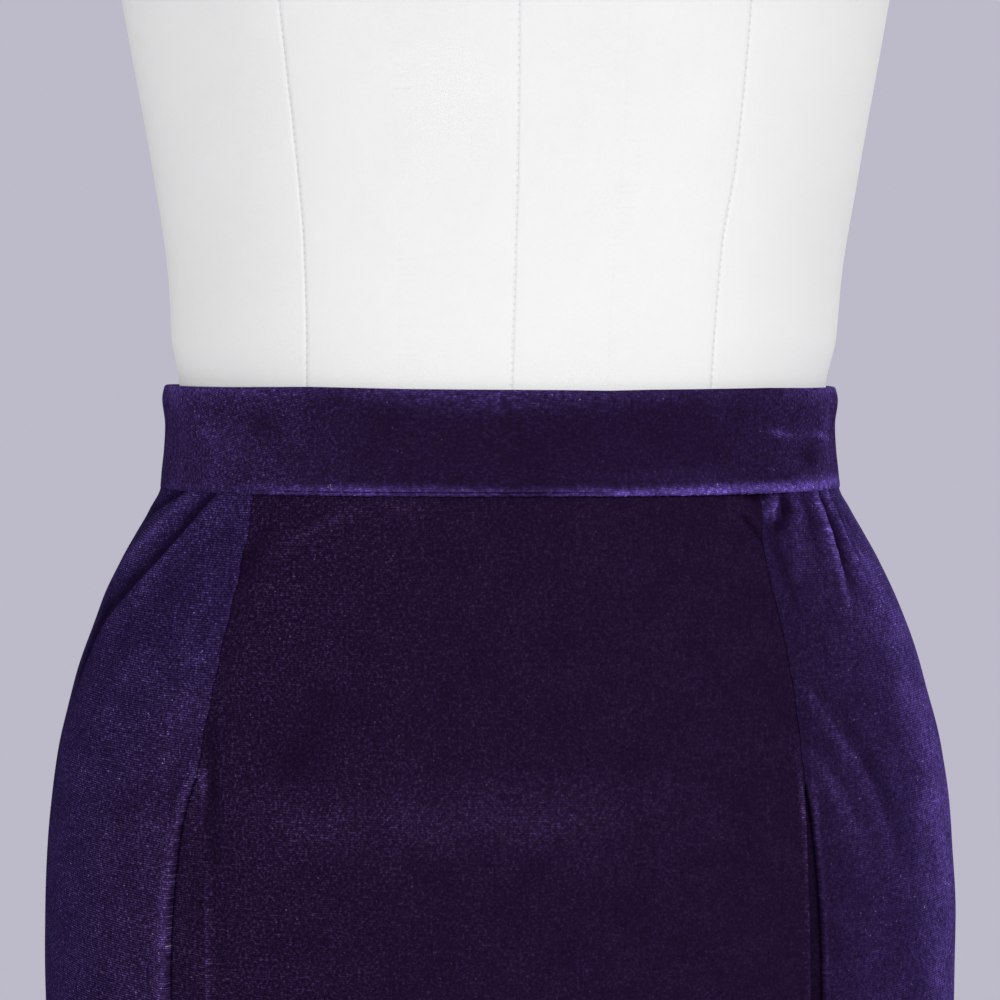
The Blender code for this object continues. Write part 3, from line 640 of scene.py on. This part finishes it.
def noise(tree, place, scale, detail=2, roughness=0.5, dimensions="2D"):
    sockets = {"Vector": place, "Scale": scale, "Detail": detail, "Roughness": roughness}
    made = add_node(tree, "TexNoise", sockets, noise_dimensions=dimensions)
    return Value(tree, made.outputs[0])


def mix(tree, share, first, second):
    sockets = {0: share, 6: (*first, 1), 7: (*second, 1)}
    return add_node(tree, "Mix", sockets, data_type="RGBA").outputs[2]


def combine(tree, operation, sockets):
    """A vector node's result, here a colour's."""
    return add_node(tree, "VectorMath", sockets, operation=operation).outputs[0]


def bump(tree, height, distance, strength):
    sockets = {"Height": height, "Distance": distance, "Strength": strength}
    return add_node(tree, "Bump", sockets).outputs[0]


def blank_material(name):
    material = bpy.data.materials.new(name)
    material.use_nodes = True
    return material, material.node_tree, material.node_tree.nodes["Principled BSDF"]


def cloth_place(tree, layer="cloth"):
    """A place in a UV map, whole and as its two distances in metres."""
    place = add_node(tree, "UVMap", uv_map=layer).outputs[0]
    split = add_node(tree, "SeparateXYZ", {0: place})
    return place, Value(tree, split.outputs[0]), Value(tree, split.outputs[1])


def object_place(tree):
    return add_node(tree, "TexCoord").outputs["Object"]


def painted_light_value(tree, kind):
    return Value(tree, add_node(tree, "Attribute", attribute_name=kind).outputs["Fac"])


# One velvet in lit and shaded copies, a set of colours a panel, set to how light falls on it: its
# dark colour, and the tints of the painted even sheen and of the painted sparks.
Velvet = namedtuple("Velvet", "deep even spark")
FRONT_VELVET = Velvet((0.0087, 0.0032, 0.0146), (0.57, 0.27, 1), (0.51, 0.28, 1))
LEFT_VELVET = Velvet((0.0094, 0.0044, 0.024), (0.34, 0.19, 1), (0.4, 0.26, 1))
RIGHT_VELVET = Velvet((0.0112, 0.0046, 0.0228), (0.3, 0.17, 1), (0.37, 0.235, 1))
BAND_VELVET = Velvet((0.0114, 0.0045, 0.019), (0.31, 0.17, 1), (0.37, 0.235, 1))
# Where a side's painted colours turn to the front's: how far, from which drop to which, and from
# which distance round the skirt to which.
Turn = namedtuple("Turn", "share high low far near")
LEFT_TURN = Turn(0.8, 0.07, 0.16, 0.19, 0.12)
RIGHT_TURN = Turn(0.4, 0.035, 0.08, 0.152, 0.118)
# Colour and strength of the painted glints of single fibres, and the share of fibres without one.
FIBRE_GLINT_TINT = (0.82, 0.66, 1)
FIBRE_GLINT_POWER = 6.8
PLAIN_FIBRES = 0.945
COURSE_PITCH = 0.00083
COURSE_END_DROP = 0.18
STITCH_PITCH = 0.0026
THREAD_TURNS = 9000


def velvet(name, colours, contrast, rib, bow=1.9, lean=0, centre=0, turn=None):
    """Dark pile with painted sheen and painted sparks of fibres, mottled nap and fine knit
    courses.
    """
    # Keeps the sparks as bright on average at any contrast
    level = 1.26 * math.exp(-0.0036 * contrast**2)
    material, tree, shader = blank_material(name)
    place, way, down = cloth_place(tree)
    across = way - centre
    # Painted sheen and sparks, kept on the points of each piece
    even, sparks = painted_light_value(tree, "painted_even_sheen"), painted_light_value(tree, "painted_sparks")
    grain = noise(tree, place, 900, 3, 0.78)
    clump = noise(tree, place, 380)
    mottle = noise(tree, place, 75, 3)

    steep = calculate("MINIMUM", down, COURSE_END_DROP) * bow + lean
    course = down + across * across * steep
    turns = (course + noise(tree, place, 45) * 0.0014) * (1 / COURSE_PITCH)
    wave = calculate("SINE", turns * (2 * math.pi))
    ribs = wave * calculate("MINIMUM", sparks * 45, 1) * rib

    single = calculate("MINIMUM", calculate("EXPONENT", (grain - 0.5) * contrast), 8)
    single = single * (ribs + 1) * level
    # Painted glints of single fibres, in a few of the cells
    cells = {"Vector": place, "Scale": 1300}
    cells = add_node(tree, "TexVoronoi", cells, voronoi_dimensions="2D")
    chosen = calculate("GREATER_THAN", Value(tree, cells.outputs["Color"]), PLAIN_FIBRES)
    fibre_glint = chosen * spread(Value(tree, cells.outputs["Distance"]), 0.45, 0.22) * FIBRE_GLINT_POWER

    uneven = spread(clump, 0.2, 0.8, 0.45, 1.55) * spread(mottle, 0.25, 0.75, 0.68, 1.32)
    even, sparks = even * uneven, sparks * uneven
    # Painted shade of troughs and grooves, broken by the grain
    depth = spread(grain, 0.3, 0.7, 0.84, 1.16) * painted_light_value(tree, "painted_shade")
    amounts = (depth, even, sparks * single)
    shares = [(FIBRE_GLINT_TINT, sparks * fibre_glint)]
    if turn:
        lower = spread(down, turn.high, turn.low, 0, turn.share)
        turned = lower * spread(calculate("ABSOLUTE", across), turn.far, turn.near)
        kept = calculate("SUBTRACT", 1, turned)
        for own, front, amount in zip(colours, FRONT_VELVET, amounts):
            shares += [(own, amount * kept), (front, amount * turned)]
    else:
        shares += zip(colours, amounts)
    colour = (0, 0, 0)
    for own, amount in shares:
        part = combine(tree, "SCALE", {0: own, 3: amount})
        colour = combine(tree, "ADD", {0: colour, 1: part})
    pile = grain * 0.4 + clump * 0.8 + mottle * 1.2 + ribs * 0.15
    looks = {"Base Color": colour, "Roughness": 0.85, "IOR": 1.03, "Sheen Weight": 0.02}
    looks |= {"Sheen Roughness": 0.45, "Sheen Tint": (0.32, 0.19, 1, 1)}
    connect(tree, shader, looks | {"Normal": bump(tree, pile, 0.00035, 0.7)})
    return material


def cover_cloth():
    """Smooth white cover cloth with a faint weave, and stitches along its seams."""
    material, tree, shader = blank_material("white_cover_cloth")
    place, across, down = cloth_place(tree)
    weave = noise(tree, place, 900)
    soil = noise(tree, place, 22, 3)
    from_seam, along_seam = cloth_place(tree, "seams")[1:]
    away = calculate("ABSOLUTE", from_seam)
    pulse = calculate("FRACT", along_seam * (1 / STITCH_PITCH))
    dots = spread(away, 0.0006, 0.0002) * calculate("LESS_THAN", pulse, 0.34)
    shade = spread(away, 0.00075, 0.00015) * 0.06 + dots * 0.16
    shade = shade + spread(soil, 0.3, 0.7, 0, 0.035) + spread(weave, 0.3, 0.7, 0, 0.02)
    threads = calculate("SINE", across * THREAD_TURNS)
    picks = calculate("SINE", down * THREAD_TURNS)
    height = threads * picks + weave - dots * 4
    colour = mix(tree, shade, (0.862, 0.861, 0.855), (0.4, 0.385, 0.4))
    looks = {"Base Color": colour, "Roughness": 0.9, "Specular IOR Level": 0.25}
    connect(tree, shader, looks | {"Normal": bump(tree, height, 0.00005, 0.6)})
    return material


def painted_metal():
    material, tree, shader = blank_material("painted_stand")
    place = object_place(tree)
    grain = noise(tree, place, 700, dimensions="3D")
    wear = spread(noise(tree, place, 18, 4, dimensions="3D"), 0.35, 0.7)
    colour = mix(tree, wear, (0.74, 0.74, 0.75), (0.69, 0.69, 0.7))
    looks = {"Base Color": colour, "Roughness": spread(wear, 0, 1, 0.34, 0.46)}
    connect(tree, shader, looks | {"Normal": bump(tree, grain, 0.00006, 0.7)})
    return material


def brushed_steel():
    material, tree, shader = blank_material("steel_pole")
    stretch = add_node(tree, "Mapping", {"Vector": object_place(tree), "Scale": (900, 900, 9)})
    lines = noise(tree, stretch.outputs[0], 1, 3, dimensions="3D")
    looks = {"Base Color": (0.62, 0.62, 0.64, 1), "Metallic": 1}
    looks |= {"Roughness": spread(lines, 0.2, 0.8, 0.24, 0.42)}
    connect(tree, shader, looks | {"Normal": bump(tree, lines, 0.00002, 0.5)})
    return material


# ---- velvet pieces

EDGE_STEPS = np.array((0, 0.1, 0.3, 0.6, 1, 1.6, 2.4, 3.4, 4.6)) * MM
SEAM_ROLL = 0.0006
HALF_GAP = 0.02 * MM
PANEL_TOP_DROP = 0.0352
PANEL_TOP_TUCK = 2.2 * MM
UNDER_BAND_DROP = 0.0372
TUCK_END_DROP = 0.046
HEM_DROP = SKIRT_LENGTH - 0.025
HEM_ROLL = 0.0008
HEM_DITCH = 0.25 * MM
HEM_LAYER = 0.9 * MM
FACE_LOWEST = -2.6 * MM
INNER_LOWEST = -3.2 * MM
SHELL_THINNEST = 0.3 * MM


def panel_drops(*runs):
    """Rows of a panel, from runs of (start, end, step), and the last ones round its hem."""
    return np.concatenate((*[np.arange(*run) for run in runs], (0.619, 0.6196, 0.62)))


# Closest under the band; the front's stay close down past the tops of the mouths.
FRONT_DROPS = panel_drops(
    (PANEL_TOP_DROP, 0.04, 0.0006), (0.04, 0.072, 0.0008), (0.072, 0.18, 0.0015),
    (0.18, 0.3, 0.003), (0.3, 0.588, 0.006), (0.588, 0.619, 0.0025),
)
BACK_DROPS = panel_drops(
    (PANEL_TOP_DROP, 0.04, 0.0008), (0.04, 0.072, 0.0016), (0.072, 0.24, 0.003),
    (0.24, 0.588, 0.006), (0.588, 0.619, 0.0025),
)


def rolled(distance, radius):
    """Depth of an edge that turns in on a quarter round, by distance from the edge."""
    left = np.clip(radius - distance, 0, radius)
    return radius - np.sqrt(radius**2 - left**2)


def seam_pull(distance, drop):
    """Dimples that the stitches pull beside a seam."""
    beat = np.sin(drop * 2 * math.pi / 0.0071 + 1.7 * np.sin(drop * 190))
    return -0.1 * MM * (0.6 + 0.4 * beat) * bell(distance, 3 * MM)


def panel_piece(node, drops, first, last, pitch, material, painted_sheen_rows=SIDE_PAINTED_SHEEN, lips=()):
    """A velvet panel between two edges, each given by its distance round the skirt.

    A lip lifts the panel beside a mouth: the mouth, the panel's edge, its lift and its width.
    """
    count = round(float(np.mean(last - first)) / pitch)
    arc = columns_between(first, last, EDGE_STEPS, count)
    angle = skirt_wrap.angle(drops, arc)
    drop = np.broadcast_to(drops[:, None], arc.shape)
    edges = {"first": arc - first[:, None], "last": last[:, None] - arc}
    signed = np.where(angle > 180, arc - 2 * skirt_wrap.arc(drops, 180)[:, None], arc)
    crest = crease_height(drop, signed)
    height = crest + flute_height(drop, angle) + ripple(signed, drop)
    tuck = by_angle(BAND_EDGES, angle).tuck
    height -= tuck * (1 - smoothstep(UNDER_BAND_DROP, TUCK_END_DROP, drop))
    under = smoothstep(UNDER_BAND_DROP, PANEL_TOP_DROP, drop)
    height = height * (1 - under) - under * PANEL_TOP_TUCK
    for distance in edges.values():
        height += seam_pull(distance, drop) - rolled(distance, SEAM_ROLL)
    for mouth, edge, lift, width in lips:
        share = (gape_at(mouth, drops) / mouth.gape)[:, None]
        lip = lift * share * bell(edges[edge] - 0.8 * width, width)
        height += lip
        # A lifted lip also gets painted highlight.
        crest = crest + 0.4 * lip
    height = np.maximum(height, FACE_LOWEST)
    height -= rolled(SKIRT_LENGTH - drop, HEM_ROLL)
    height -= HEM_DITCH * bell(drop - HEM_DROP, 0.0012)
    thick = WALL + HEM_LAYER * smoothstep(HEM_DROP - 0.0005, HEM_DROP + 0.0005, drop)
    inner = np.clip(np.minimum(height, 0) - thick, INNER_LOWEST, height - SHELL_THINNEST)
    pile = painted_light_at(painted_sheen_rows, SKIRT_PATCHES, drop, angle, crest)
    return shell_piece(node, drop, angle, height, inner, arc, pile, material)


def band_profile():
    """The band's section, down its face and up inside it, as (drop, inset) points."""
    radius, corner, foot = BAND_THICKNESS / 2, 0.0009, 0.0006
    turn = np.radians(np.array((0, 22.5, 45, 67.5)))
    face = [*np.arange(corner, 0.033, 0.0012), 0.033, 0.0338, 0.0344, 0.0349, 0.0352]
    face += [0.0354, 0.03555, 0.0357, 0.03585, 0.036, 0.0362]
    profile = [(drop, 0) for drop in face]
    profile += [(0.0365 + foot * math.sin(a), foot * (1 - math.cos(a))) for a in turn[1:]]
    profile += [(0.0371, 0.0008), (0.0371, 0.0016), (0.037, 0.0024), (0.0366, 0.0029)]
    profile += [(drop, BAND_THICKNESS) for drop in (0.035, 0.027, 0.019, 0.011, 0.005)]
    profile += [(radius - radius * math.sin(a), radius + radius * math.cos(a)) for a in turn]
    profile += [(corner * (1 - math.cos(a)), corner * (1 - math.sin(a))) for a in turn]
    return np.array(profile)


def waistband(material):
    """Closed band, folded over at its top, with a roll and a groove along its lower edge."""
    profile = band_profile()
    around, half_length, middle_drop = 640, 0.35, 0.018
    angle = np.linspace(-180, 180, around, endpoint=False)[None, :]
    drop = np.broadcast_to(profile[:, :1], (len(profile), around))
    inset = np.broadcast_to(profile[:, 1:], (len(profile), around))
    outward = np.clip(1 - inset / (1.6 * MM), 0, 1)
    edge, top = by_angle(BAND_EDGES, angle), by_angle(TOP_RISES, angle)
    roll = edge.roll * bell(drop - 0.0355, 0.0019)
    groove = edge.groove * bell(drop - GROOVE_DROP, GROOVE_WIDTH)
    arc = np.linspace(-half_length, half_length, around, endpoint=False)[None, :]
    soft = 0.12 * MM * np.sin(arc * 95 + 40 * drop + 1.1 * np.sin(arc * 37))
    way = skirt_wrap.arc(np.full(around, middle_drop), angle[0])
    whole_round = 2 * skirt_wrap.arc([middle_drop], 180)
    crease = crease_height(drop, way, BAND_CREASES)
    crease = crease + crease_height(drop, way + whole_round, BAND_CREASES)
    height = -inset + outward * (roll - groove + crease + soft * smoothstep(0, 0.006, drop))
    wobble = np.sin(arc * 1310 + 2 * np.sin(arc * 410)) + np.sin(arc * 2270)
    low = smoothstep(0.035, 0.0368, drop) * wobble * 0.09 * MM
    rings = point_on(SKIRT_SECTIONS, drop, angle, height)
    rings[..., 2] += top.rise * smoothstep(0.02, 0, drop) - low
    along = np.linalg.norm(np.diff(profile, axis=0), axis=1)
    fold = np.concatenate(([0], np.cumsum(along)))
    uv = np.stack(np.meshgrid(np.linspace(-half_length, half_length, around + 1), fold), axis=-1)
    pile = painted_light_at(BAND_PAINTED_SHEEN, BAND_PATCHES, drop, angle, crease * outward)
    # Painted highlight along the roll, weaker in the groove
    roll_highlight = edge.shine * bell(edge.peak - drop, edge.reach)
    roll_highlight = roll_highlight * (1 - 0.9 * groove / (0.3 * MM)).clip(0.1, 1)
    pile[..., 0] += 0.64 * roll_highlight
    pile[..., 1] += 0.38 * roll_highlight
    # Painted shade in the groove
    pile[..., 2] *= (1 - 0.6 * groove / (0.3 * MM)).clip(0.2, 1)
    # Painted highlight along the folded top
    top_highlight = 0.4 * bell(drop, 0.6 * MM) + bell(drop, 4 * MM)
    pile[..., :2] += (0.5 * top.shine * top_highlight * (inset < 0.0022))[..., None]
    node = "waistband"
    return ring_piece("velvet_" + node, rings, uv, material, node, tube=True, pile=pile)


FACING_MARGIN = 0.012
FACING_AHEAD = 0.042
FACING_BEHIND = 0.024
FACING_DEPTH = WALL + 0.6 * MM


def facing(mouth, material):
    """The velvet layer behind a pocket mouth."""
    low = mouth.top + MOUTH_LENGTH + FACING_MARGIN
    drops = np.linspace(mouth.top - FACING_MARGIN, low, 116)
    middle = seam_arc(mouth, drops)
    ahead, behind = middle - mouth.sign * FACING_AHEAD, middle + mouth.sign * FACING_BEHIND
    first, last = np.minimum(ahead, behind), np.maximum(ahead, behind)
    arc = first[:, None] + (last - first)[:, None] * np.linspace(0, 1, 48)
    angle = skirt_wrap.angle(drops, arc)
    drop = np.broadcast_to(drops[:, None], arc.shape)
    crease = crease_height(drop, arc)
    height = np.minimum(0.75 * crease, crease) - FACING_DEPTH
    # The facing gets painted shade all over, as a trough would.
    pile = painted_light_at(SIDE_PAINTED_SHEEN, SKIRT_PATCHES, drop, angle, np.full_like(drop, -0.45 * MM))
    node = "pocket_facing_" + mouth.name
    return shell_piece(node, drop, angle, height, height - 1 * MM, arc, pile, material)


# ---- form and stand

# Seams of the cover, as the distance from the form's middle line at each drop.
CoverSeam = namedtuple("CoverSeam", "drop centre princess_left princess_right back_princess")
COVER_SEAMS = table(
    CoverSeam,
    (-0.472, 0, -0.03, 0.03, 0.03), (-0.42, 0, -0.056, 0.056, 0.056),
    (-0.36, 0.001, -0.086, 0.086, 0.082), (-0.29, 0.002, -0.09, 0.09, 0.08),
    (-0.215, 0.003, -0.086, 0.09, 0.072), (-0.13, 0.0045, -0.079, 0.086, 0.062),
    (-0.08, 0.004, -0.074, 0.0815, 0.057), (-0.05, 0.0035, -0.0715, 0.077, 0.055),
    (0, 0.003, -0.07, 0.0745, 0.055), (0.065, 0.002, -0.076, 0.079, 0.066),
    (0.16, 0, -0.086, 0.086, 0.076), (0.335, 0, -0.084, 0.084, 0.074),
)

# Distances from a seam of the cover at which its ditch has columns
DITCH_STEPS = np.array((0, 0.2, 0.45, 0.8, 1.4, 2.4)) * MM
DITCH_DEPTH, DITCH_WIDTH = 0.4 * MM, 0.45 * MM
PULL_DEPTH, PULL_WIDTH = 0.12 * MM, 2.2 * MM


def cover_seam_angles(drops):
    """Angles of the cover's eight seams at each drop, from -180 up to 180."""
    _, *offsets = by_drop(COVER_SEAMS, drops)
    centre, left, right, back = (angle_of(FORM_ROWS, offset, drops) for offset in offsets)
    side, end = np.full_like(drops, 90), np.full_like(drops, 180)
    return np.stack((-end, back - end, -side, left, centre, right, side, end - back, end), axis=1)


def form_cover(material):
    """The covered form, with a shallow ditch along each seam of its cover."""
    corner = 0.014
    low_drop = FORM_END_DROP - corner
    runs = ((-NECK_RISE, -0.09, 0.004), (-0.09, 0.01, 0.0013), (0.01, low_drop, 0.008))
    drops = np.concatenate((*[np.arange(*run) for run in runs], (low_drop,)))
    swing = np.radians(np.linspace(12, 90, 7))
    insets = np.concatenate((np.zeros(len(drops)), corner * (1 - np.cos(swing))))
    drops = np.concatenate((drops, FORM_END_DROP - corner * (1 - np.sin(swing))))
    seams = form_wrap.arc(drops, cover_seam_angles(drops))
    arcs, away = [], []
    for left, right in zip(seams.T[:-1], seams.T[1:]):
        block = columns_between(left, right, DITCH_STEPS, 14)[:, :-1]
        from_left, from_right = block - left[:, None], block - right[:, None]
        arcs.append(block)
        away.append(np.where(from_left < -from_right, from_left, from_right))
    arc, away = (np.concatenate(blocks, axis=1) for blocks in (arcs, away))
    angle = form_wrap.angle(drops, arc)
    drop = np.broadcast_to(drops[:, None], arc.shape)
    depth = DITCH_DEPTH * bell(away, DITCH_WIDTH) + PULL_DEPTH * bell(away, PULL_WIDTH)
    depth = depth * smoothstep(-NECK_RISE, -NECK_RISE + 0.004, drop)
    rings = point_on(FORM_ROWS, drop, angle, -insets[:, None] - depth)
    end = form_wrap.arc(drops, 180)[:, None]
    arc = np.concatenate((arc, end), axis=1)
    away = np.concatenate((away, np.zeros_like(end)), axis=1)
    down = np.broadcast_to(drops[:, None], arc.shape)
    uv = np.stack((arc, down), axis=-1)
    piece = ring_piece("form_cover", rings, uv, material, "form_body")
    places = grid_faces(*arc.shape, 0, True)[1].ravel()
    layer = piece.data.uv_layers.new(name="seams")
    values = np.full((len(layer.data), 2), 0.01, np.float32)
    values[: len(places)] = np.stack((away, down), axis=-1).reshape(-1, 2)[places]
    layer.data.foreach_set("uv", values.ravel())
    return piece


def turned(name, profile, around, material, slot, node):
    """A closed profile of (radius, height) points, turned round the axis of the form."""
    radius, height = np.array(profile).T
    angle = np.linspace(0, 2 * math.pi, around, endpoint=False)
    x, y = radius[:, None] * np.sin(angle), -radius[:, None] * np.cos(angle)
    rings = np.stack((x, y, np.broadcast_to(height[:, None], x.shape)), axis=-1)
    uv = np.stack(np.meshgrid(np.linspace(0, 1, around + 1), height), axis=-1)
    return ring_piece(name, rings, uv, material, node, sharp=40)


def arc_points(x, y, radius, start, end):
    """Points of a round edge in a profile, from one direction to another, in degrees."""
    turns = [math.radians(a) for a in np.linspace(start, end, 6)]
    return [(x + radius * math.cos(a), y + radius * math.sin(a)) for a in turns]


def stand(paint, steel):
    base_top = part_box("form_base")[1].z
    pole_low, pole_high = (corner.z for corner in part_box("form_pole"))
    cap_low, cap_high = (corner.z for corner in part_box("form_neck_cap"))
    edge = 0.003
    base = arc_points(0.026 - edge, base_top - edge, edge, 90, 0)
    base += [(0.026, 0.04), *arc_points(0.026 + 0.006, 0.0205 + 0.006, 0.006, 180, 265)]
    base += [(0.08, 0.0172), (0.13, 0.014)]
    base += arc_points(0.17 - edge, 0.012 - edge, edge, 84, 0)
    base += [(0.17, 0.0015), (0.1688, 0.0004), (0.168, 0)]
    turned("base_disc", base, 128, paint, "painted_stand", "form_base")
    pole = [(0.0455, pole_high), (0.046, pole_high - 0.0005)]
    pole += [(0.046, pole_high - 0.0055), (0.0455, pole_high - 0.006)]
    pole += arc_points(0.02, pole_high - 0.012, 0.006, 90, 180)
    pole += [(0.014, 0.5 * (pole_high + pole_low)), (0.014, pole_low)]
    turned("pole", pole, 72, steel, "steel_pole", "form_pole")
    knob = 0.013
    middle = cap_low + 0.012 + 0.6 * 0.03
    cap = [(0.003, cap_high), (0.0072, cap_high - 0.0012), (0.0108, cap_high - 0.0046)]
    cap += [(knob, middle + 0.0015), (knob * 0.98, middle - 0.003), (0.0105, middle - 0.0085)]
    cap += [(r, cap_low + z) for r, z in ((0.0085, 0.0155), (0.0082, 0.0132), (0.0095, 0.0121))]
    cap += arc_points(0.058 - edge, cap_low + 0.012 - edge, edge, 90, 0)
    cap += [(0.058, cap_low + 0.001), (0.0572, cap_low)]
    turned("neck_cap", cap, 96, paint, "painted_stand", "form_neck_cap")


# ---- studio

CAMERA_DISTANCE = 1.5
CAMERA_RISE = 0.025
AIM_DROP = 0.042375


def add_light(name, place, size, power):
    lamp = bpy.data.lights.new(name, "AREA")
    lamp.shape = "DISK"
    lamp.size = size
    lamp.energy = power
    light = bpy.data.objects.new(name, lamp)
    place_at(light, place, Vector((0, 0, 1)))
    light.visible_camera = False


def place_at(thing, place, aim):
    """Put a light or a camera into the scene, turned towards a point."""
    thing.location = place
    thing.rotation_euler = (aim - thing.location).to_track_quat("-Z", "Y").to_euler()
    bpy.context.scene.collection.objects.link(thing)


def add_world():
    world = bpy.data.worlds.new("studio")
    bpy.context.scene.world = world
    world.use_nodes = True
    tree = world.node_tree
    light = tree.nodes["Background"]
    connect(tree, light, {0: (0.99, 0.98, 1, 1), 1: 0.31})
    seen = add_node(tree, "Background", {0: (0.509, 0.491, 0.584, 1), 1: 1})
    path = add_node(tree, "LightPath").outputs["Is Camera Ray"]
    choose = add_node(tree, "MixShader", {0: path, 1: light.outputs[0], 2: seen.outputs[0]})
    connect(tree, tree.nodes["World Output"], {0: choose.outputs[0]})


def studio():
    scene = bpy.context.scene
    scene.view_settings.view_transform = "Standard"
    add_world()
    add_light("key", (2.45, -2.1, 2.1), 1.6, 68)
    add_light("fill", (-2.15, -2.5, 1.5), 1.8, 55)
    add_light("back", (0.4, 3.2, 2.2), 2, 60)

    bpy.ops.mesh.primitive_circle_add(vertices=128, radius=2.2, fill_type="NGON")
    floor = bpy.context.object
    floor.name = "floor"
    floor.location.z = -0.0005
    material, tree, shader = blank_material("pale_floor")
    tone = noise(tree, object_place(tree), 3, 3, dimensions="3D")
    colour = mix(tree, tone, (0.6, 0.59, 0.64), (0.64, 0.63, 0.68))
    connect(tree, shader, {"Base Color": colour, "Roughness": 0.85})
    floor.data.materials.append(material)

    lens = bpy.data.cameras.new("camera")
    lens.lens = 144
    lens.sensor_width = 36
    scene.camera = bpy.data.objects.new("camera", lens)
    aim = Vector((0, 0, BAND_TOP_Z - AIM_DROP))
    place_at(scene.camera, (0, -CAMERA_DISTANCE, BAND_TOP_Z + CAMERA_RISE), aim)


# ---- the whole


def skirt():
    left, right = MOUTHS
    drops = FRONT_DROPS
    seams = {mouth.name: seam_arc(mouth, drops) for mouth in MOUTHS}
    gapes = {mouth.name: gape_at(mouth, drops) for mouth in MOUTHS}
    first = seams["left"] + HALF_GAP + left.front_share * gapes["left"]
    last = seams["right"] - HALF_GAP - right.front_share * gapes["right"]
    cloth = velvet("velvet_front", FRONT_VELVET, 12, 1)
    lips = ((left, "first", 1.9 * MM, 1.3 * MM), (right, "last", 1 * MM, 0.9 * MM))
    node = "front_panel"
    pieces = {node: panel_piece(node, drops, first, last, 1.5 * MM, cloth, FRONT_PAINTED_SHEEN, lips)}
    sides = (
        (left, LEFT_VELVET, LEFT_TURN, 8.9, 0.95, 1.9, (left, "last", 2.6 * MM, 2.8 * MM)),
        (right, RIGHT_VELVET, RIGHT_TURN, 6.6, 0.55, 0.7, (right, "first", 0.9 * MM, 1.2 * MM)),
    )
    for mouth, colours, turn, contrast, rib, bow, lip in sides:
        side = skirt_wrap.arc(drops, 90 * mouth.sign) - mouth.sign * HALF_GAP
        gape = (1 - mouth.front_share) * gapes[mouth.name]
        seam = seams[mouth.name] + mouth.sign * (HALF_GAP + gape)
        first, last = (side, seam) if mouth.sign < 0 else (seam, side)
        node = "side_front_" + mouth.name
        cloth = velvet("velvet_side_" + mouth.name, colours, contrast, rib, bow, turn=turn)
        pieces[node] = panel_piece(node, drops, first, last, 1.05 * MM, cloth, lips=(lip,))
        cloth = velvet("velvet_facing_" + mouth.name, FRONT_VELVET, contrast, rib, bow)
        pieces["pocket_facing_" + mouth.name] = facing(mouth, cloth)
    drops = BACK_DROPS
    first = skirt_wrap.arc(drops, 90) + HALF_GAP
    last = skirt_wrap.arc(drops, 270) - HALF_GAP
    middle = float(skirt_wrap.arc([0.2], 180)[0])
    cloth = velvet("velvet_back", RIGHT_VELVET, 8, 1, 0.7, centre=middle)
    pieces["back_panel"] = panel_piece("back_panel", drops, first, last, 2.4 * MM, cloth)
    cloth = velvet("velvet_band", BAND_VELVET, 8.6, 0.55, bow=0, lean=-1.25)
    pieces["waistband"] = waistband(cloth)
    return pieces


pieces = skirt()
cover = form_cover(cover_cloth())
stand(painted_metal(), brushed_steel())

studio()
